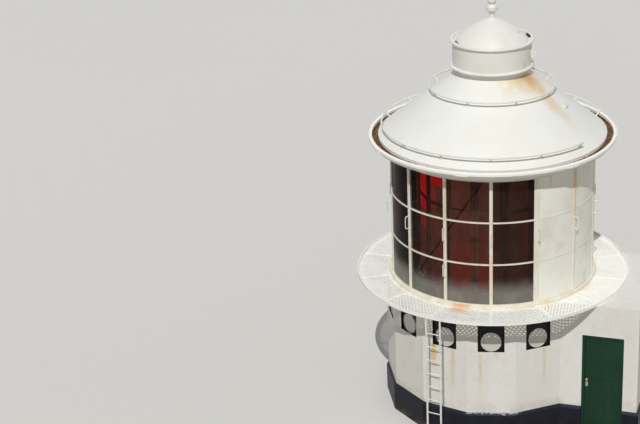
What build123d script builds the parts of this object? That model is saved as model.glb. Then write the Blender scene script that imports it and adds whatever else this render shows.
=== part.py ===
from build123d import *
import os
from math import cos, degrees, hypot, radians, sin, tan

# A lighthouse lantern house, in millimetres. The origin is on the ground at the centre of the round base,
# +Z is up and +X points along the squared entry, whose door faces -Y.
os.makedirs("parts", exist_ok=True)

# Clearances
joint_gap = 0.6  # open joint between like pieces that stand side by side
seat_gap = 0.3  # between a piece and its seat where a curved face is involved
door_gap = 8.0  # around the door leaf
pin_gap = 0.05  # hinge pin in its bore

# Plan of the base: a fourteen-sided room with a squared entry in place of three sides
sides = 14
entry_sides = 3
step = 360 / sides
wall_over = 23.0
wall_t = 200.0
floor_t = 150.0
entry_slab_t = 120.0

# Heights of the base
plinth_h = 620.0
plinth_proj = 50.0
wall_top = 2970.0
curb_h = 80.0

# Glazing: three rows of curved panes
glazing_r = 2134.0
tier_h = 915.0
tiers = 3
astragal_w = 70.0
astragal_d = 60.0
bar_h = 30.0
bar_d = 44.0
glass_t = 8.0
blank_t = 10.0
blank_sides = 4

# Walkway
curb_inside = 94.0
curb_outside = 66.0
walkway_w = 700.0
walkway_t = 8.0
rim_t = 26.0
rim_h = 60.0
strip_w = 60.0
strip_t = 6.0
bracket_t = 16.0
bracket_depth = 230.0
bracket_set_in = 130.0
bracket_tip = 40.0
bracket_pad_w = 90.0
bracket_pad_t = 12.0

# Inner ledge and the red screen that stands on it
ledge_lip = 60.0
ledge_t = 18.0
ledge_rib_h = 70.0
ledge_rib_t = 16.0
screen_sides = 16
screen_apothem = 1530.0
screen_t = 30.0
screen_border = 80.0
screen_rail_up = 1850.0
screen_top_gap = 45.0
screen_pane_t = 6.0

# Ventilation niches in the flat sides
niche_w = 550.0
niche_h = 640.0
niche_d = 45.0
niche_up = 2035.0
niche_lining = 6.0
disc_r = 200.0
disc_t = 12.0
disc_rim_w = 12.0
disc_rim_t = 20.0

# Door in the side of the entry
door_in = 457.0
door_w = 860.0
entry_beyond = 300.0
door_h = 2135.0
frame_w = 40.0
frame_d = 90.0
frame_stop = 14.0
frame_set_in = 21.5
leaf_t = 45.0
leaf_panel_inset = 10.0
leaf_stile = 110.0
knob_x_in = 52.0
knob_up = 1090.0
knob_r = 27.0
knob_neck_r = 11.0
knob_reach = 55.0
rose_r = 30.0
rose_t = 6.0
hinge_r = 7.0
hinge_pin_r = 3.5
hinge_half = 50.0
hinge_stand = 12.0
hinge_leaf_t = 4.0
hinge_leaf_w = 34.0
hinge_count = 3
hinge_margin = 200.0

# Eaves, gutter and roof
head_h = 150.0
soffit_t = 12.0
eaves_over = 326.0
gutter_floor_w = 160.0
gutter_flare = 88.0
gutter_cove = 180.0
gutter_upstand_t = 40.0
gutter_h = 148.0
gutter_lip_w = 74.0
gutter_lip_h = 62.0
gutter_lip_round = 15.0
gutter_floor_t = 35.0
gutter_sections = 7
gutter_joint_angle = -90.0
strap_w = 260.0
strap_t = 12.0
roof_drip = 4.0
roof_up = 138.0
roof_pitch = radians(38.6)
sheet_t = 12.0
neck_r = 735.0

# Tube rails on the roof
rail_r = 19.0
rail_stand = 130.0
lower_rail_in = 74.0
upper_rail_out = 565.0
upper_posts = 8
upper_post_angle = 35.8
lower_rail_open = 2
post_r = 16.0
knuckle_r = 26.0
knuckle_l = 44.0
foot_r = 34.0
foot_t = 8.0

# Ventilator on top
neck_h = 116.0
neck_below = 60.0
drum_over = 77.0
drum_h = 515.0
bead_r = 25.0
lip_over = 50.0
lip_h = 60.0
lip_w = 65.0
lip_floor_t = 15.0
dome_set_in = 60.0
dome_skirt = 20.0
dome_arc_r = 1350.0
dome_crown_out = 90.0
dome_crown_down = 47.0
dome_h = 470.0
finial_r = 122.0
finial_ball_h = 175.0
finial_upper_r = 88.0
finial_upper_h = 150.0
stem_r = 55.0
stem_h = 110.0
rod_r = 11.0
rod_tip_r = 4.0
rod_h = 420.0

# Earth strap and the small fixings on its line, over the entry
strap_band_w = 30.0
strap_band_t = 6.0
cleat_size = (130.0, 90.0, 32.0)
cleat_r = 510.0
lug_out = 120.0
lug_h = 190.0
lug_t = 14.0
lug_hole_r = 28.0
cap_size = (100.0, 240.0, 45.0)
cap_out = 805.0
cap_angle = -3.0

# Ladder, under the walkway's edge
ladder_side = -4
ladder_in = 40.0
ladder_w = 310.0
ladder_turn = 1.6
stringer_r = 20.0
rung_r = 11.0
rung_pitch = 305.0
first_rung_up = 150.0
top_rung_down = 345.0
ladder_pad = (90.0, 70.0, 10.0)

# Grab handles on the upright bars
handle_h = 270.0
handle_out = 85.0
handle_tube_r = 10.0
handle_bend = 32.0
handle_down = 180.0
low_handle_down = 60.0

# Sizes worked out from the ones above
half = step / 2
wall_sides = sides - entry_sides
first_wall = (entry_sides + 1) / 2
entry_angle = entry_sides * step / 2
astragal_in_r = glazing_r - astragal_d / 2
astragal_out_r = glazing_r + astragal_d / 2
curb_in_r = glazing_r - curb_inside
curb_out_r = glazing_r + curb_outside
wall_apothem = curb_out_r + wall_over
inner_apothem = wall_apothem - wall_t
wall_corner_r = wall_apothem / cos(radians(half))
entry_y = wall_corner_r * sin(radians(entry_angle))
entry_in_y = entry_y - wall_t
entry_in_x = inner_apothem / cos(radians(half)) * cos(radians(entry_angle))
entry_wall_top = wall_top - entry_slab_t
door_start_x = wall_corner_r * cos(radians(entry_angle)) + door_in
door_end_x = door_start_x + door_w
door_top = floor_t + door_h
entry_end_x = door_end_x + entry_beyond
plinth_apothem = wall_apothem + plinth_proj
wall_span = dict(count=wall_sides, start_angle=first_wall * step, angular_range=wall_sides * step)
sill_z = wall_top + curb_h
level_z = [sill_z + i * tier_h for i in range(tiers + 1)]
glass_top_z = level_z[-1]
walkway_r = curb_out_r + walkway_w
walkway_top = wall_top + walkway_t
bracket_r = walkway_r - rim_t - bracket_set_in
ladder_r = walkway_r - ladder_in
rung_count = int((wall_top - top_rung_down - first_rung_up) / rung_pitch) + 1
ledge_top = wall_top + ledge_t
screen_in = screen_apothem - screen_t
ledge_in_r = screen_in - ledge_lip
soffit_z = glass_top_z + head_h
gutter_z = soffit_z + soffit_t
gutter_top = gutter_z + gutter_h
eaves_r = astragal_out_r + eaves_over
gutter_in_r = eaves_r - gutter_floor_w
gutter_r = eaves_r + gutter_flare
roof_edge_r = gutter_in_r + gutter_upstand_t + roof_drip
roof_edge_z = gutter_z + roof_up
roof_slope = tan(roof_pitch)
sheet_drop = sheet_t / cos(roof_pitch)
lower_rail_r = roof_edge_r - lower_rail_in
upper_rail_r = neck_r + upper_rail_out
drum_r = neck_r + drum_over
lip_r = drum_r + lip_over
dome_r = lip_r - lip_w - dome_set_in
dome_crown_r = stem_r + dome_crown_out
cap_r = neck_r + cap_out


def roof_z(radius):
    """Height of the roof's outer face at a distance from the axis."""
    return roof_edge_z + (roof_edge_r - radius) * roof_slope


def facet_points(inner, outer, gap=joint_gap):
    """Plan of one flat side, lying across the X axis between two apothems."""
    spread = tan(radians(half))
    return [
        (inner, gap / 2 - inner * spread),
        (outer, gap / 2 - outer * spread),
        (outer, outer * spread - gap / 2),
        (inner, inner * spread - gap / 2),
    ]


def span_box(x, y, z, mode=Mode.ADD):
    """A box given by its two limits along each axis."""
    with Locations((x[0], y[0], z[0])):
        Box(x[1] - x[0], y[1] - y[0], z[1] - z[0], align=(Align.MIN, Align.MIN, Align.MIN), mode=mode)


def ring_pieces(inner, outer, count, gap, start_angle=0.0):
    """A flat ring cut into pieces by parallel-sided joints."""
    Circle(outer)
    Circle(inner, mode=Mode.SUBTRACT)
    with PolarLocations((inner + outer) / 2, count, start_angle=start_angle):
        Rectangle(2 * (outer - inner), gap, mode=Mode.SUBTRACT)


def landward_wedge(half_angle, mode):
    """The sector about +X between two equal angles."""
    reach = 2 * walkway_r
    side = reach * tan(radians(half_angle))
    Polygon((0, 0), (reach, -side), (reach, side), align=None, mode=mode)


def cut_round_wall(outer):
    """Takes the two end sides of the round wall out of a sketch of the entry, with the open joint."""
    for side in (1, -1):
        points = facet_points(inner_apothem - joint_gap, outer + joint_gap, -joint_gap)
        Polygon(*points, rotation=side * first_wall * step, align=None, mode=Mode.SUBTRACT)


def entry_joints(z, end_x):
    """Open joints between the entry's end wall and its two side walls."""
    for y in (entry_in_y, -entry_in_y - joint_gap):
        span_box((entry_end_x - 1.5 * wall_t, end_x), (y, y + joint_gap), z, Mode.SUBTRACT)


# Base: plinth, walls, entry and floor
with BuildPart() as plinth_segment:
    with BuildSketch(Plane.XZ):
        Polygon(
            (inner_apothem, 0),
            (plinth_apothem, 0),
            (plinth_apothem, plinth_h - plinth_proj),
            (wall_apothem, plinth_h),
            (inner_apothem, plinth_h),
            align=None,
        )
    extrude(amount=plinth_apothem, both=True)
    with BuildSketch():
        Polygon(*facet_points(inner_apothem, plinth_apothem), align=None)
    extrude(amount=plinth_h, mode=Mode.INTERSECT)

with BuildPart() as entry_plinth:
    plinth_end_x = entry_end_x + plinth_proj
    plinth_y = entry_y + plinth_proj
    span_box((entry_in_x, plinth_end_x), (-plinth_y, plinth_y), (0, plinth_h))
    top_edges = entry_plinth.edges().group_by(Axis.Z)[-1].sort_by(Axis.X)[1:]
    chamfer(top_edges, length=plinth_proj)
    span_box((0, entry_end_x - wall_t), (-entry_in_y, entry_in_y), (0, plinth_h), Mode.SUBTRACT)
    span_box((door_start_x, door_end_x), (-plinth_y, 0), (0, plinth_h), Mode.SUBTRACT)
    with BuildSketch():
        Rectangle(4 * walkway_r, 4 * walkway_r)
        cut_round_wall(plinth_apothem)
    extrude(amount=plinth_h, mode=Mode.INTERSECT)
    entry_joints((0, plinth_h), plinth_end_x)

with BuildPart() as plinth_blocks:
    with PolarLocations(0, **wall_span):
        add(plinth_segment.part)
    add(entry_plinth.part)
plinth_blocks.part.label = "plinth_blocks"
export_step(plinth_blocks.part, "parts/plinth_blocks.step")

with BuildPart() as base_walls:
    with BuildSketch(Plane.XY.offset(plinth_h)):
        with PolarLocations(0, **wall_span):
            Polygon(*facet_points(inner_apothem, wall_apothem), align=None)
    extrude(amount=wall_top - plinth_h)
    with PolarLocations(wall_apothem - niche_d / 2, **wall_span):
        with Locations((0, 0, niche_up + niche_h / 2)):
            Box(niche_d, niche_w, niche_h, mode=Mode.SUBTRACT)
base_walls.part.label = "base_walls"
export_step(base_walls.part, "parts/base_walls.step")

with BuildPart() as entry_walls:
    entry_heights = (plinth_h, entry_wall_top)
    span_box((entry_in_x, entry_end_x), (-entry_y, entry_y), entry_heights)
    span_box((0, entry_end_x - wall_t), (-entry_in_y, entry_in_y), entry_heights, Mode.SUBTRACT)
    span_box((door_start_x, door_end_x), (-entry_y, 0), (plinth_h, door_top), Mode.SUBTRACT)
    with BuildSketch(Plane.XY.offset(plinth_h)):
        Rectangle(4 * walkway_r, 4 * walkway_r)
        cut_round_wall(wall_apothem)
    extrude(amount=entry_wall_top - plinth_h, mode=Mode.INTERSECT)
    entry_joints(entry_heights, entry_end_x)
    for x in (door_start_x, door_end_x - joint_gap):
        span_box((x, x + joint_gap), (-entry_y, 0), (plinth_h, entry_wall_top), Mode.SUBTRACT)
entry_walls.part.label = "entry_walls"
export_step(entry_walls.part, "parts/entry_walls.step")

with BuildPart() as entry_roof:
    with BuildSketch(Plane.XY.offset(entry_wall_top)):
        Polygon((0, -entry_y), (entry_end_x, -entry_y), (entry_end_x, entry_y), (0, entry_y), align=None)
        landward_wedge(entry_angle, Mode.INTERSECT)
        slab_side = entry_end_x - entry_in_x
        for side in (1, -1):
            with Locations((entry_in_x + slab_side / 2, side * (entry_y - wall_t / 2))):
                Rectangle(slab_side, wall_t)
        Circle(inner_apothem, mode=Mode.SUBTRACT)
        cut_round_wall(wall_apothem)
    extrude(amount=entry_slab_t)
entry_roof.part.label = "entry_roof"
export_step(entry_roof.part, "parts/entry_roof.step")

with BuildPart() as base_floor:
    with BuildSketch():
        floor_y = entry_in_y - joint_gap
        floor_end_x = entry_end_x - wall_t - joint_gap
        with Locations((floor_end_x / 2, 0)):
            Rectangle(floor_end_x, 2 * floor_y)
        RegularPolygon(inner_apothem, sides, major_radius=False, rotation=half, mode=Mode.SUBTRACT)
        RegularPolygon(inner_apothem - joint_gap, sides, major_radius=False, rotation=half)
        for side in (1, -1):
            with Locations((entry_in_x - joint_gap + wall_t, side * (floor_y + wall_t))):
                Rectangle(2 * wall_t, 2 * wall_t, mode=Mode.SUBTRACT)
    extrude(amount=floor_t)
base_floor.part.label = "base_floor"
export_step(base_floor.part, "parts/base_floor.step")

# Niches with their round ventilation covers
with BuildPart() as niche:
    with Locations((wall_apothem - niche_d / 2, 0, niche_up + niche_h / 2)):
        Box(niche_d, niche_w, niche_h)
    with Locations((wall_apothem - niche_d / 2 + niche_lining, 0, niche_up + niche_h / 2)):
        Box(niche_d, niche_w - 2 * niche_lining, niche_h - 2 * niche_lining, mode=Mode.SUBTRACT)

with BuildPart() as vent_niches:
    with PolarLocations(0, **wall_span):
        add(niche.part)
vent_niches.part.label = "vent_niches"
export_step(vent_niches.part, "parts/vent_niches.step")

disc_z = niche_up + niche_lining + disc_rim_w + disc_r
niche_back = wall_apothem - niche_d + niche_lining
with BuildPart() as disc:
    with BuildSketch(Plane.YZ.offset(niche_back)):
        with Locations((0, disc_z)):
            Circle(disc_r + disc_rim_w)
    extrude(amount=disc_rim_t)
    with BuildSketch(Plane.YZ.offset(niche_back + disc_rim_t)):
        with Locations((0, disc_z)):
            Circle(disc_r)
    extrude(amount=disc_t - disc_rim_t, mode=Mode.SUBTRACT)

with BuildPart() as vent_discs:
    with PolarLocations(0, **wall_span):
        add(disc.part)
vent_discs.part.label = "vent_discs"
export_step(vent_discs.part, "parts/vent_discs.step")

# Door, its frame and threshold
frame_y = entry_y - frame_set_in
leaf_y = frame_y - frame_d
with BuildPart() as door_sill:
    span_box(
        (door_start_x + joint_gap, door_end_x - joint_gap), (-entry_y - plinth_proj, -entry_in_y), (0, floor_t)
    )
    sill_nose = door_sill.edges().group_by(Axis.Z)[-1].sort_by(Axis.Y)[0]
    fillet(sill_nose, radius=plinth_proj / 4)
door_sill.part.label = "door_sill"
export_step(door_sill.part, "parts/door_sill.step")

with BuildPart() as door_frame:
    jamb_heights = (floor_t, door_top - frame_w - joint_gap)
    stop_y = (-frame_y, -leaf_y - leaf_t - door_gap)
    for inner, outer, stop in (
        (door_start_x + frame_w, door_start_x + joint_gap, door_start_x + frame_w + frame_stop),
        (door_end_x - frame_w, door_end_x - joint_gap, door_end_x - frame_w - frame_stop),
    ):
        span_box((min(inner, outer), max(inner, outer)), (-frame_y, -leaf_y), jamb_heights)
        span_box((min(inner, stop), max(inner, stop)), stop_y, jamb_heights)
    head_x = (door_start_x + joint_gap, door_end_x - joint_gap)
    span_box(head_x, (-frame_y, -leaf_y), (door_top - frame_w, door_top))
    stop_x = (door_start_x + frame_w + frame_stop + joint_gap, door_end_x - frame_w - frame_stop - joint_gap)
    span_box(stop_x, stop_y, (door_top - frame_w - frame_stop, door_top - frame_w))
door_frame.part.label = "door_frame"
export_step(door_frame.part, "parts/door_frame.step")

leaf_x = (door_start_x + frame_w + door_gap, door_end_x - frame_w - door_gap)
leaf_z = (floor_t + door_gap, door_top - frame_w - door_gap)
with BuildPart() as door_leaf:
    span_box(leaf_x, (-leaf_y - leaf_t, -leaf_y), leaf_z)
    with BuildSketch(Plane.XZ.offset(leaf_y + leaf_t)):
        leaf_mid = ((leaf_x[0] + leaf_x[1]) / 2, (leaf_z[0] + leaf_z[1]) / 2)
        with Locations(leaf_mid):
            Rectangle(leaf_x[1] - leaf_x[0] - 2 * leaf_stile, leaf_z[1] - leaf_z[0] - 2 * leaf_stile)
            Rectangle(leaf_x[1] - leaf_x[0], leaf_stile, mode=Mode.SUBTRACT)
    extrude(amount=-leaf_panel_inset, mode=Mode.SUBTRACT)
door_leaf.part.label = "door_leaf"
export_step(door_leaf.part, "parts/door_leaf.step")

knob_x = leaf_x[0] + knob_x_in
knob_z = floor_t + knob_up
with BuildPart() as door_knobs:
    for face_y, way in ((-leaf_y, 1), (-leaf_y - leaf_t, -1)):
        rose_plane = Plane((knob_x, face_y, knob_z), x_dir=(1, 0, 0), z_dir=(0, way, 0))
        with BuildSketch(rose_plane):
            Circle(rose_r)
        extrude(amount=rose_t)
        with BuildSketch(rose_plane):
            Circle(knob_neck_r)
        extrude(amount=knob_reach - knob_r)
        with Locations((knob_x, face_y + way * (knob_reach - knob_r), knob_z)):
            Sphere(knob_r)
door_knobs.part.label = "door_knobs"
export_step(door_knobs.part, "parts/door_knobs.step")

hinge_x = door_end_x - frame_w - door_gap / 2
hinge_y = -leaf_y + hinge_stand
hinge_run = leaf_z[1] - leaf_z[0] - 2 * hinge_margin
hinge_z = [leaf_z[0] + hinge_margin + i * hinge_run / (hinge_count - 1) for i in range(hinge_count)]
with BuildPart() as door_hinges:
    for z in hinge_z:
        with Locations((hinge_x, hinge_y, z - hinge_half / 2)):
            Cylinder(hinge_r, hinge_half)
        plate_z = (z - hinge_half, z)
        span_box((leaf_x[1] - hinge_leaf_w, leaf_x[1]), (-leaf_y, -leaf_y + hinge_leaf_t), plate_z)
        span_box((leaf_x[1] - hinge_leaf_t, leaf_x[1]), (-leaf_y, hinge_y), plate_z)
        span_box((leaf_x[1] - hinge_leaf_t, hinge_x), (hinge_y - hinge_leaf_t / 2, hinge_y + hinge_leaf_t / 2), plate_z)
        with Locations((hinge_x, hinge_y, z - hinge_half / 2)):
            Cylinder(hinge_pin_r + pin_gap, hinge_half, mode=Mode.SUBTRACT)
door_hinges.part.label = "door_hinges"
export_step(door_hinges.part, "parts/door_hinges.step")

with BuildPart() as hinge_posts:
    for z in hinge_z:
        post_z = (z + seat_gap, z + seat_gap + hinge_half)
        with Locations((hinge_x, hinge_y, z + seat_gap + hinge_half / 2)):
            Cylinder(hinge_r, hinge_half)
        frame_face_x = door_end_x - frame_w
        arm_x = (hinge_x, frame_face_x + hinge_leaf_t)
        span_box(arm_x, (hinge_y - hinge_leaf_t / 2, hinge_y + hinge_leaf_t / 2), post_z)
        span_box((frame_face_x, frame_face_x + hinge_leaf_t), (-leaf_y, hinge_y), post_z)
        span_box((frame_face_x, door_end_x - joint_gap), (-leaf_y, -leaf_y + hinge_leaf_t), post_z)
        with Locations((hinge_x, hinge_y, z)):
            Cylinder(hinge_pin_r, hinge_half)
hinge_posts.part.label = "hinge_posts"
export_step(hinge_posts.part, "parts/hinge_posts.step")

# Walkway: curb under the glass, floor plates, joint strips, rim and brackets
with BuildPart() as curb_ring:
    with BuildSketch(Plane.XY.offset(wall_top)):
        ring_pieces(curb_in_r, curb_out_r, sides, joint_gap, half)
    extrude(amount=curb_h)
    curb_tops = curb_ring.edges().filter_by(GeomType.CIRCLE).group_by(Axis.Z)[-1]
    fillet([e for e in curb_tops if e.radius > glazing_r], radius=curb_h / 5)
curb_ring.part.label = "curb_ring"
export_step(curb_ring.part, "parts/curb_ring.step")

with BuildPart() as walkway_plates:
    with BuildSketch(Plane.XY.offset(wall_top)):
        ring_pieces(curb_out_r + seat_gap, walkway_r - rim_t - seat_gap, sides, 2 * joint_gap)
    extrude(amount=walkway_t)
walkway_plates.part.label = "walkway_plates"
export_step(walkway_plates.part, "parts/walkway_plates.step")

with BuildPart() as walkway_strips:
    strip_l = walkway_r - rim_t - curb_out_r - 4 * seat_gap
    with PolarLocations((walkway_r - rim_t + curb_out_r) / 2, sides):
        with Locations((0, 0, walkway_top + strip_t / 2)):
            Box(strip_l - 2 * strip_t, strip_w, strip_t)
walkway_strips.part.label = "walkway_strips"
export_step(walkway_strips.part, "parts/walkway_strips.step")

with BuildPart() as walkway_rim:
    with BuildSketch(Plane.XY.offset(wall_top)):
        ring_pieces(walkway_r - rim_t, walkway_r, sides, joint_gap)
    extrude(amount=rim_h)
walkway_rim.part.label = "walkway_rim"
export_step(walkway_rim.part, "parts/walkway_rim.step")

with BuildPart() as bracket:
    pad_face = wall_apothem + bracket_pad_t
    with BuildSketch(Plane.XZ):
        Polygon(
            (pad_face, wall_top),
            (pad_face, wall_top - bracket_depth),
            (pad_face + bracket_tip, wall_top - bracket_depth),
            (bracket_r, wall_top - bracket_tip),
            (bracket_r, wall_top),
            align=None,
        )
    extrude(amount=bracket_t / 2, both=True)
    span_box(
        (wall_apothem, pad_face), (-bracket_pad_w / 2, bracket_pad_w / 2), (wall_top - bracket_depth, wall_top)
    )

with BuildPart() as walkway_brackets:
    with PolarLocations(0, **wall_span):
        add(bracket.part)
walkway_brackets.part.label = "walkway_brackets"
export_step(walkway_brackets.part, "parts/walkway_brackets.step")

# Inner ledge with its ribs
with BuildPart() as inner_ledge:
    with BuildSketch(Plane.XY.offset(wall_top)):
        ring_pieces(ledge_in_r, curb_in_r - seat_gap, sides, joint_gap, half)
    extrude(amount=ledge_t)
inner_ledge.part.label = "inner_ledge"
export_step(inner_ledge.part, "parts/inner_ledge.step")

with BuildPart() as ledge_ribs:
    rib_l = inner_apothem - seat_gap - ledge_in_r - 2 * ledge_rib_t
    with PolarLocations(inner_apothem - seat_gap - rib_l / 2, sides):
        with Locations((0, 0, wall_top - ledge_rib_h / 2)):
            Box(rib_l, ledge_rib_t, ledge_rib_h)
ledge_ribs.part.label = "ledge_ribs"
export_step(ledge_ribs.part, "parts/ledge_ribs.step")

# Red screen: one framed leaf a side, each with two panes
screen_half_w = screen_in * tan(radians(180 / screen_sides)) - joint_gap
screen_h = glass_top_z - screen_top_gap - ledge_top
pane_h = (screen_rail_up - 1.5 * screen_border, screen_h - screen_rail_up - 1.5 * screen_border)
pane_mid = (screen_border + pane_h[0] / 2, screen_h - screen_border - pane_h[1] / 2)
pane_w = 2 * (screen_half_w - screen_border)
with BuildPart() as screen_leaf:
    with BuildSketch(Plane.YZ.offset(screen_in)):
        with Locations((0, ledge_top + screen_h / 2)):
            Rectangle(2 * screen_half_w, screen_h)
        for mid, height in zip(pane_mid, pane_h):
            with Locations((0, ledge_top + mid)):
                Rectangle(pane_w, height, mode=Mode.SUBTRACT)
    extrude(amount=screen_t)

with BuildPart() as screen_frames:
    with PolarLocations(0, screen_sides, start_angle=180 / screen_sides):
        add(screen_leaf.part)
screen_frames.part.label = "screen_frames"
export_step(screen_frames.part, "parts/screen_frames.step")

with BuildPart() as screen_pane:
    with BuildSketch(Plane.YZ.offset(screen_in + (screen_t - screen_pane_t) / 2)):
        for mid, height in zip(pane_mid, pane_h):
            with Locations((0, ledge_top + mid)):
                Rectangle(pane_w - 2 * seat_gap, height - 2 * seat_gap)
    extrude(amount=screen_pane_t)

with BuildPart() as screen_panes:
    with PolarLocations(0, screen_sides, start_angle=180 / screen_sides):
        add(screen_pane.part)
screen_panes.part.label = "screen_panes"
export_step(screen_panes.part, "parts/screen_panes.step")

# Glazing: uprights, curved bars, curved panes and the blank sheets over the entry
with BuildPart() as astragals:
    with BuildSketch(Plane.XY.offset(sill_z)):
        with PolarLocations(glazing_r, sides):
            Rectangle(astragal_d, astragal_w)
    extrude(amount=tiers * tier_h)
    outer_edges = astragals.edges().filter_by(Axis.Z)
    nose = [e for e in outer_edges if hypot(e.center().X, e.center().Y) > glazing_r]
    chamfer(nose, length=astragal_w / 7)
astragals.part.label = "astragals"
export_step(astragals.part, "parts/astragals.step")

bar_gap = astragal_w + 2 * seat_gap
bar_in_r = glazing_r - bar_d / 2
bar_out_r = glazing_r + bar_d / 2
bar_spans = [(sill_z, sill_z + bar_h)]
bar_spans += [(z - bar_h / 2, z + bar_h / 2) for z in level_z[1:-1]]
bar_spans += [(glass_top_z - bar_h, glass_top_z)]
with BuildPart() as glazing_bars:
    for low, high in bar_spans:
        with BuildSketch(Plane.XY.offset(low)):
            ring_pieces(bar_in_r, bar_out_r, sides, bar_gap)
        extrude(amount=high - low)
glazing_bars.part.label = "glazing_bars"
export_step(glazing_bars.part, "parts/glazing_bars.step")

blank_angle = blank_sides * step / 2
tier_names = ("glass_lower", "glass_middle", "glass_upper")
for name, below, above in zip(tier_names, bar_spans, bar_spans[1:]):
    with BuildPart() as glass_row:
        with BuildSketch(Plane.XY.offset(below[1] + seat_gap)):
            ring_pieces(glazing_r - glass_t / 2, glazing_r + glass_t / 2, sides, bar_gap)
            landward_wedge(blank_angle, Mode.SUBTRACT)
        extrude(amount=above[0] - below[1] - 2 * seat_gap)
    glass_row.part.label = name
    export_step(glass_row.part, f"parts/{name}.step")

with BuildPart() as blank_panels:
    for below, above in zip(bar_spans, bar_spans[1:]):
        with BuildSketch(Plane.XY.offset(below[1] + seat_gap)):
            ring_pieces(bar_out_r - blank_t - 6, bar_out_r - 6, sides, bar_gap)
            landward_wedge(blank_angle, Mode.INTERSECT)
        extrude(amount=above[0] - below[1] - 2 * seat_gap)
blank_panels.part.label = "blank_panels"
export_step(blank_panels.part, "parts/blank_panels.step")

with BuildPart() as handle:
    handle_top = level_z[2] - handle_down
    with BuildLine(Plane.XZ) as handle_path:
        FilletPolyline(
            (astragal_out_r, handle_top),
            (astragal_out_r + handle_out, handle_top),
            (astragal_out_r + handle_out, handle_top - handle_h),
            (astragal_out_r, handle_top - handle_h),
            radius=handle_bend,
        )
    with BuildSketch(Plane(handle_path.line @ 0, z_dir=handle_path.line % 0)):
        Circle(handle_tube_r)
    sweep(path=handle_path.line)

with BuildPart() as grab_handles:
    with PolarLocations(0, sides):
        add(handle.part)
    low_handle_drop = tier_h + low_handle_down - handle_down
    with Locations(Location((0, 0, -low_handle_drop), (0, 0, ladder_side * step))):
        add(handle.part)
grab_handles.part.label = "grab_handles"
export_step(grab_handles.part, "parts/grab_handles.step")

# Eaves: head ring, soffit and the gutter in sections with joint straps
with BuildPart() as head_ring:
    with BuildSketch(Plane.XY.offset(glass_top_z)):
        ring_pieces(astragal_in_r, astragal_out_r, sides, joint_gap, half)
    extrude(amount=head_h)
head_ring.part.label = "head_ring"
export_step(head_ring.part, "parts/head_ring.step")

with BuildPart() as soffit:
    with BuildSketch(Plane.XY.offset(soffit_z)):
        ring_pieces(astragal_in_r, eaves_r, sides, joint_gap, half)
    extrude(amount=soffit_t)
soffit.part.label = "soffit"
export_step(soffit.part, "parts/soffit.step")

upstand_top = roof_z(gutter_in_r + gutter_upstand_t) - sheet_drop - seat_gap
lip_bottom = gutter_top - gutter_lip_h
with BuildPart() as gutter:
    with BuildSketch(Plane.XZ):
        with BuildLine():
            trough_r = gutter_r - gutter_lip_w
            upstand_r = gutter_in_r + gutter_upstand_t
            trough_z = gutter_z + gutter_floor_t
            round_z = gutter_top - gutter_lip_round
            Polyline((upstand_r, trough_z), (upstand_r, upstand_top), (gutter_in_r, upstand_top))
            Polyline((gutter_in_r, upstand_top), (gutter_in_r, gutter_z), (eaves_r, gutter_z))
            RadiusArc((eaves_r, gutter_z), (gutter_r, lip_bottom), gutter_cove)
            Line((gutter_r, lip_bottom), (gutter_r, round_z))
            ThreePointArc((gutter_r, round_z), (gutter_r - gutter_lip_w / 2, gutter_top), (trough_r, round_z))
            Polyline((trough_r, round_z), (trough_r, trough_z), (upstand_r, trough_z))
        make_face()
    revolve(axis=Axis.Z)
    with PolarLocations(gutter_r, gutter_sections, start_angle=gutter_joint_angle):
        with Locations((0, 0, gutter_z + gutter_h / 2)):
            Box(2 * (gutter_r - gutter_in_r) + gutter_r / 4, joint_gap, 2 * gutter_h, mode=Mode.SUBTRACT)
gutter.part.label = "gutter"
export_step(gutter.part, "parts/gutter.step")

strap_spread = degrees(strap_w / gutter_r) / 2
with BuildPart() as gutter_strap:
    with BuildSketch(Plane.XY.offset(lip_bottom - strap_t)):
        Circle(gutter_r + seat_gap + strap_t)
        Circle(gutter_r + seat_gap, mode=Mode.SUBTRACT)
        landward_wedge(strap_spread, Mode.INTERSECT)
    extrude(amount=gutter_lip_h)

with BuildPart() as gutter_straps:
    with PolarLocations(0, gutter_sections, start_angle=gutter_joint_angle):
        add(gutter_strap.part)
gutter_straps.part.label = "gutter_straps"
export_step(gutter_straps.part, "parts/gutter_straps.step")

# Roof: conical sheets that meet the neck of the ventilator
with BuildPart() as roof_sheets:
    sheet_in_r = neck_r + seat_gap
    with BuildSketch(Plane.XZ):
        Polygon(
            (roof_edge_r, roof_z(roof_edge_r)),
            (sheet_in_r, roof_z(sheet_in_r)),
            (sheet_in_r, roof_z(sheet_in_r) - sheet_drop),
            (roof_edge_r, roof_z(roof_edge_r) - sheet_drop),
            align=None,
        )
    revolve(axis=Axis.Z)
    sheet_run = roof_edge_r - neck_r
    with PolarLocations((roof_edge_r + neck_r) / 2, sides, start_angle=half):
        with Locations((0, 0, roof_z((roof_edge_r + neck_r) / 2))):
            Box(1.2 * sheet_run, joint_gap, 1.2 * sheet_run, mode=Mode.SUBTRACT)
roof_sheets.part.label = "roof_sheets"
export_step(roof_sheets.part, "parts/roof_sheets.step")


def rail_place(radius):
    """Foot point of a rail post on the roof and the rail's height, for a rail at this radius."""
    foot_radius = radius - rail_stand * sin(roof_pitch)
    return foot_radius, roof_z(foot_radius), roof_z(foot_radius) + rail_stand * cos(roof_pitch)


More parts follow.
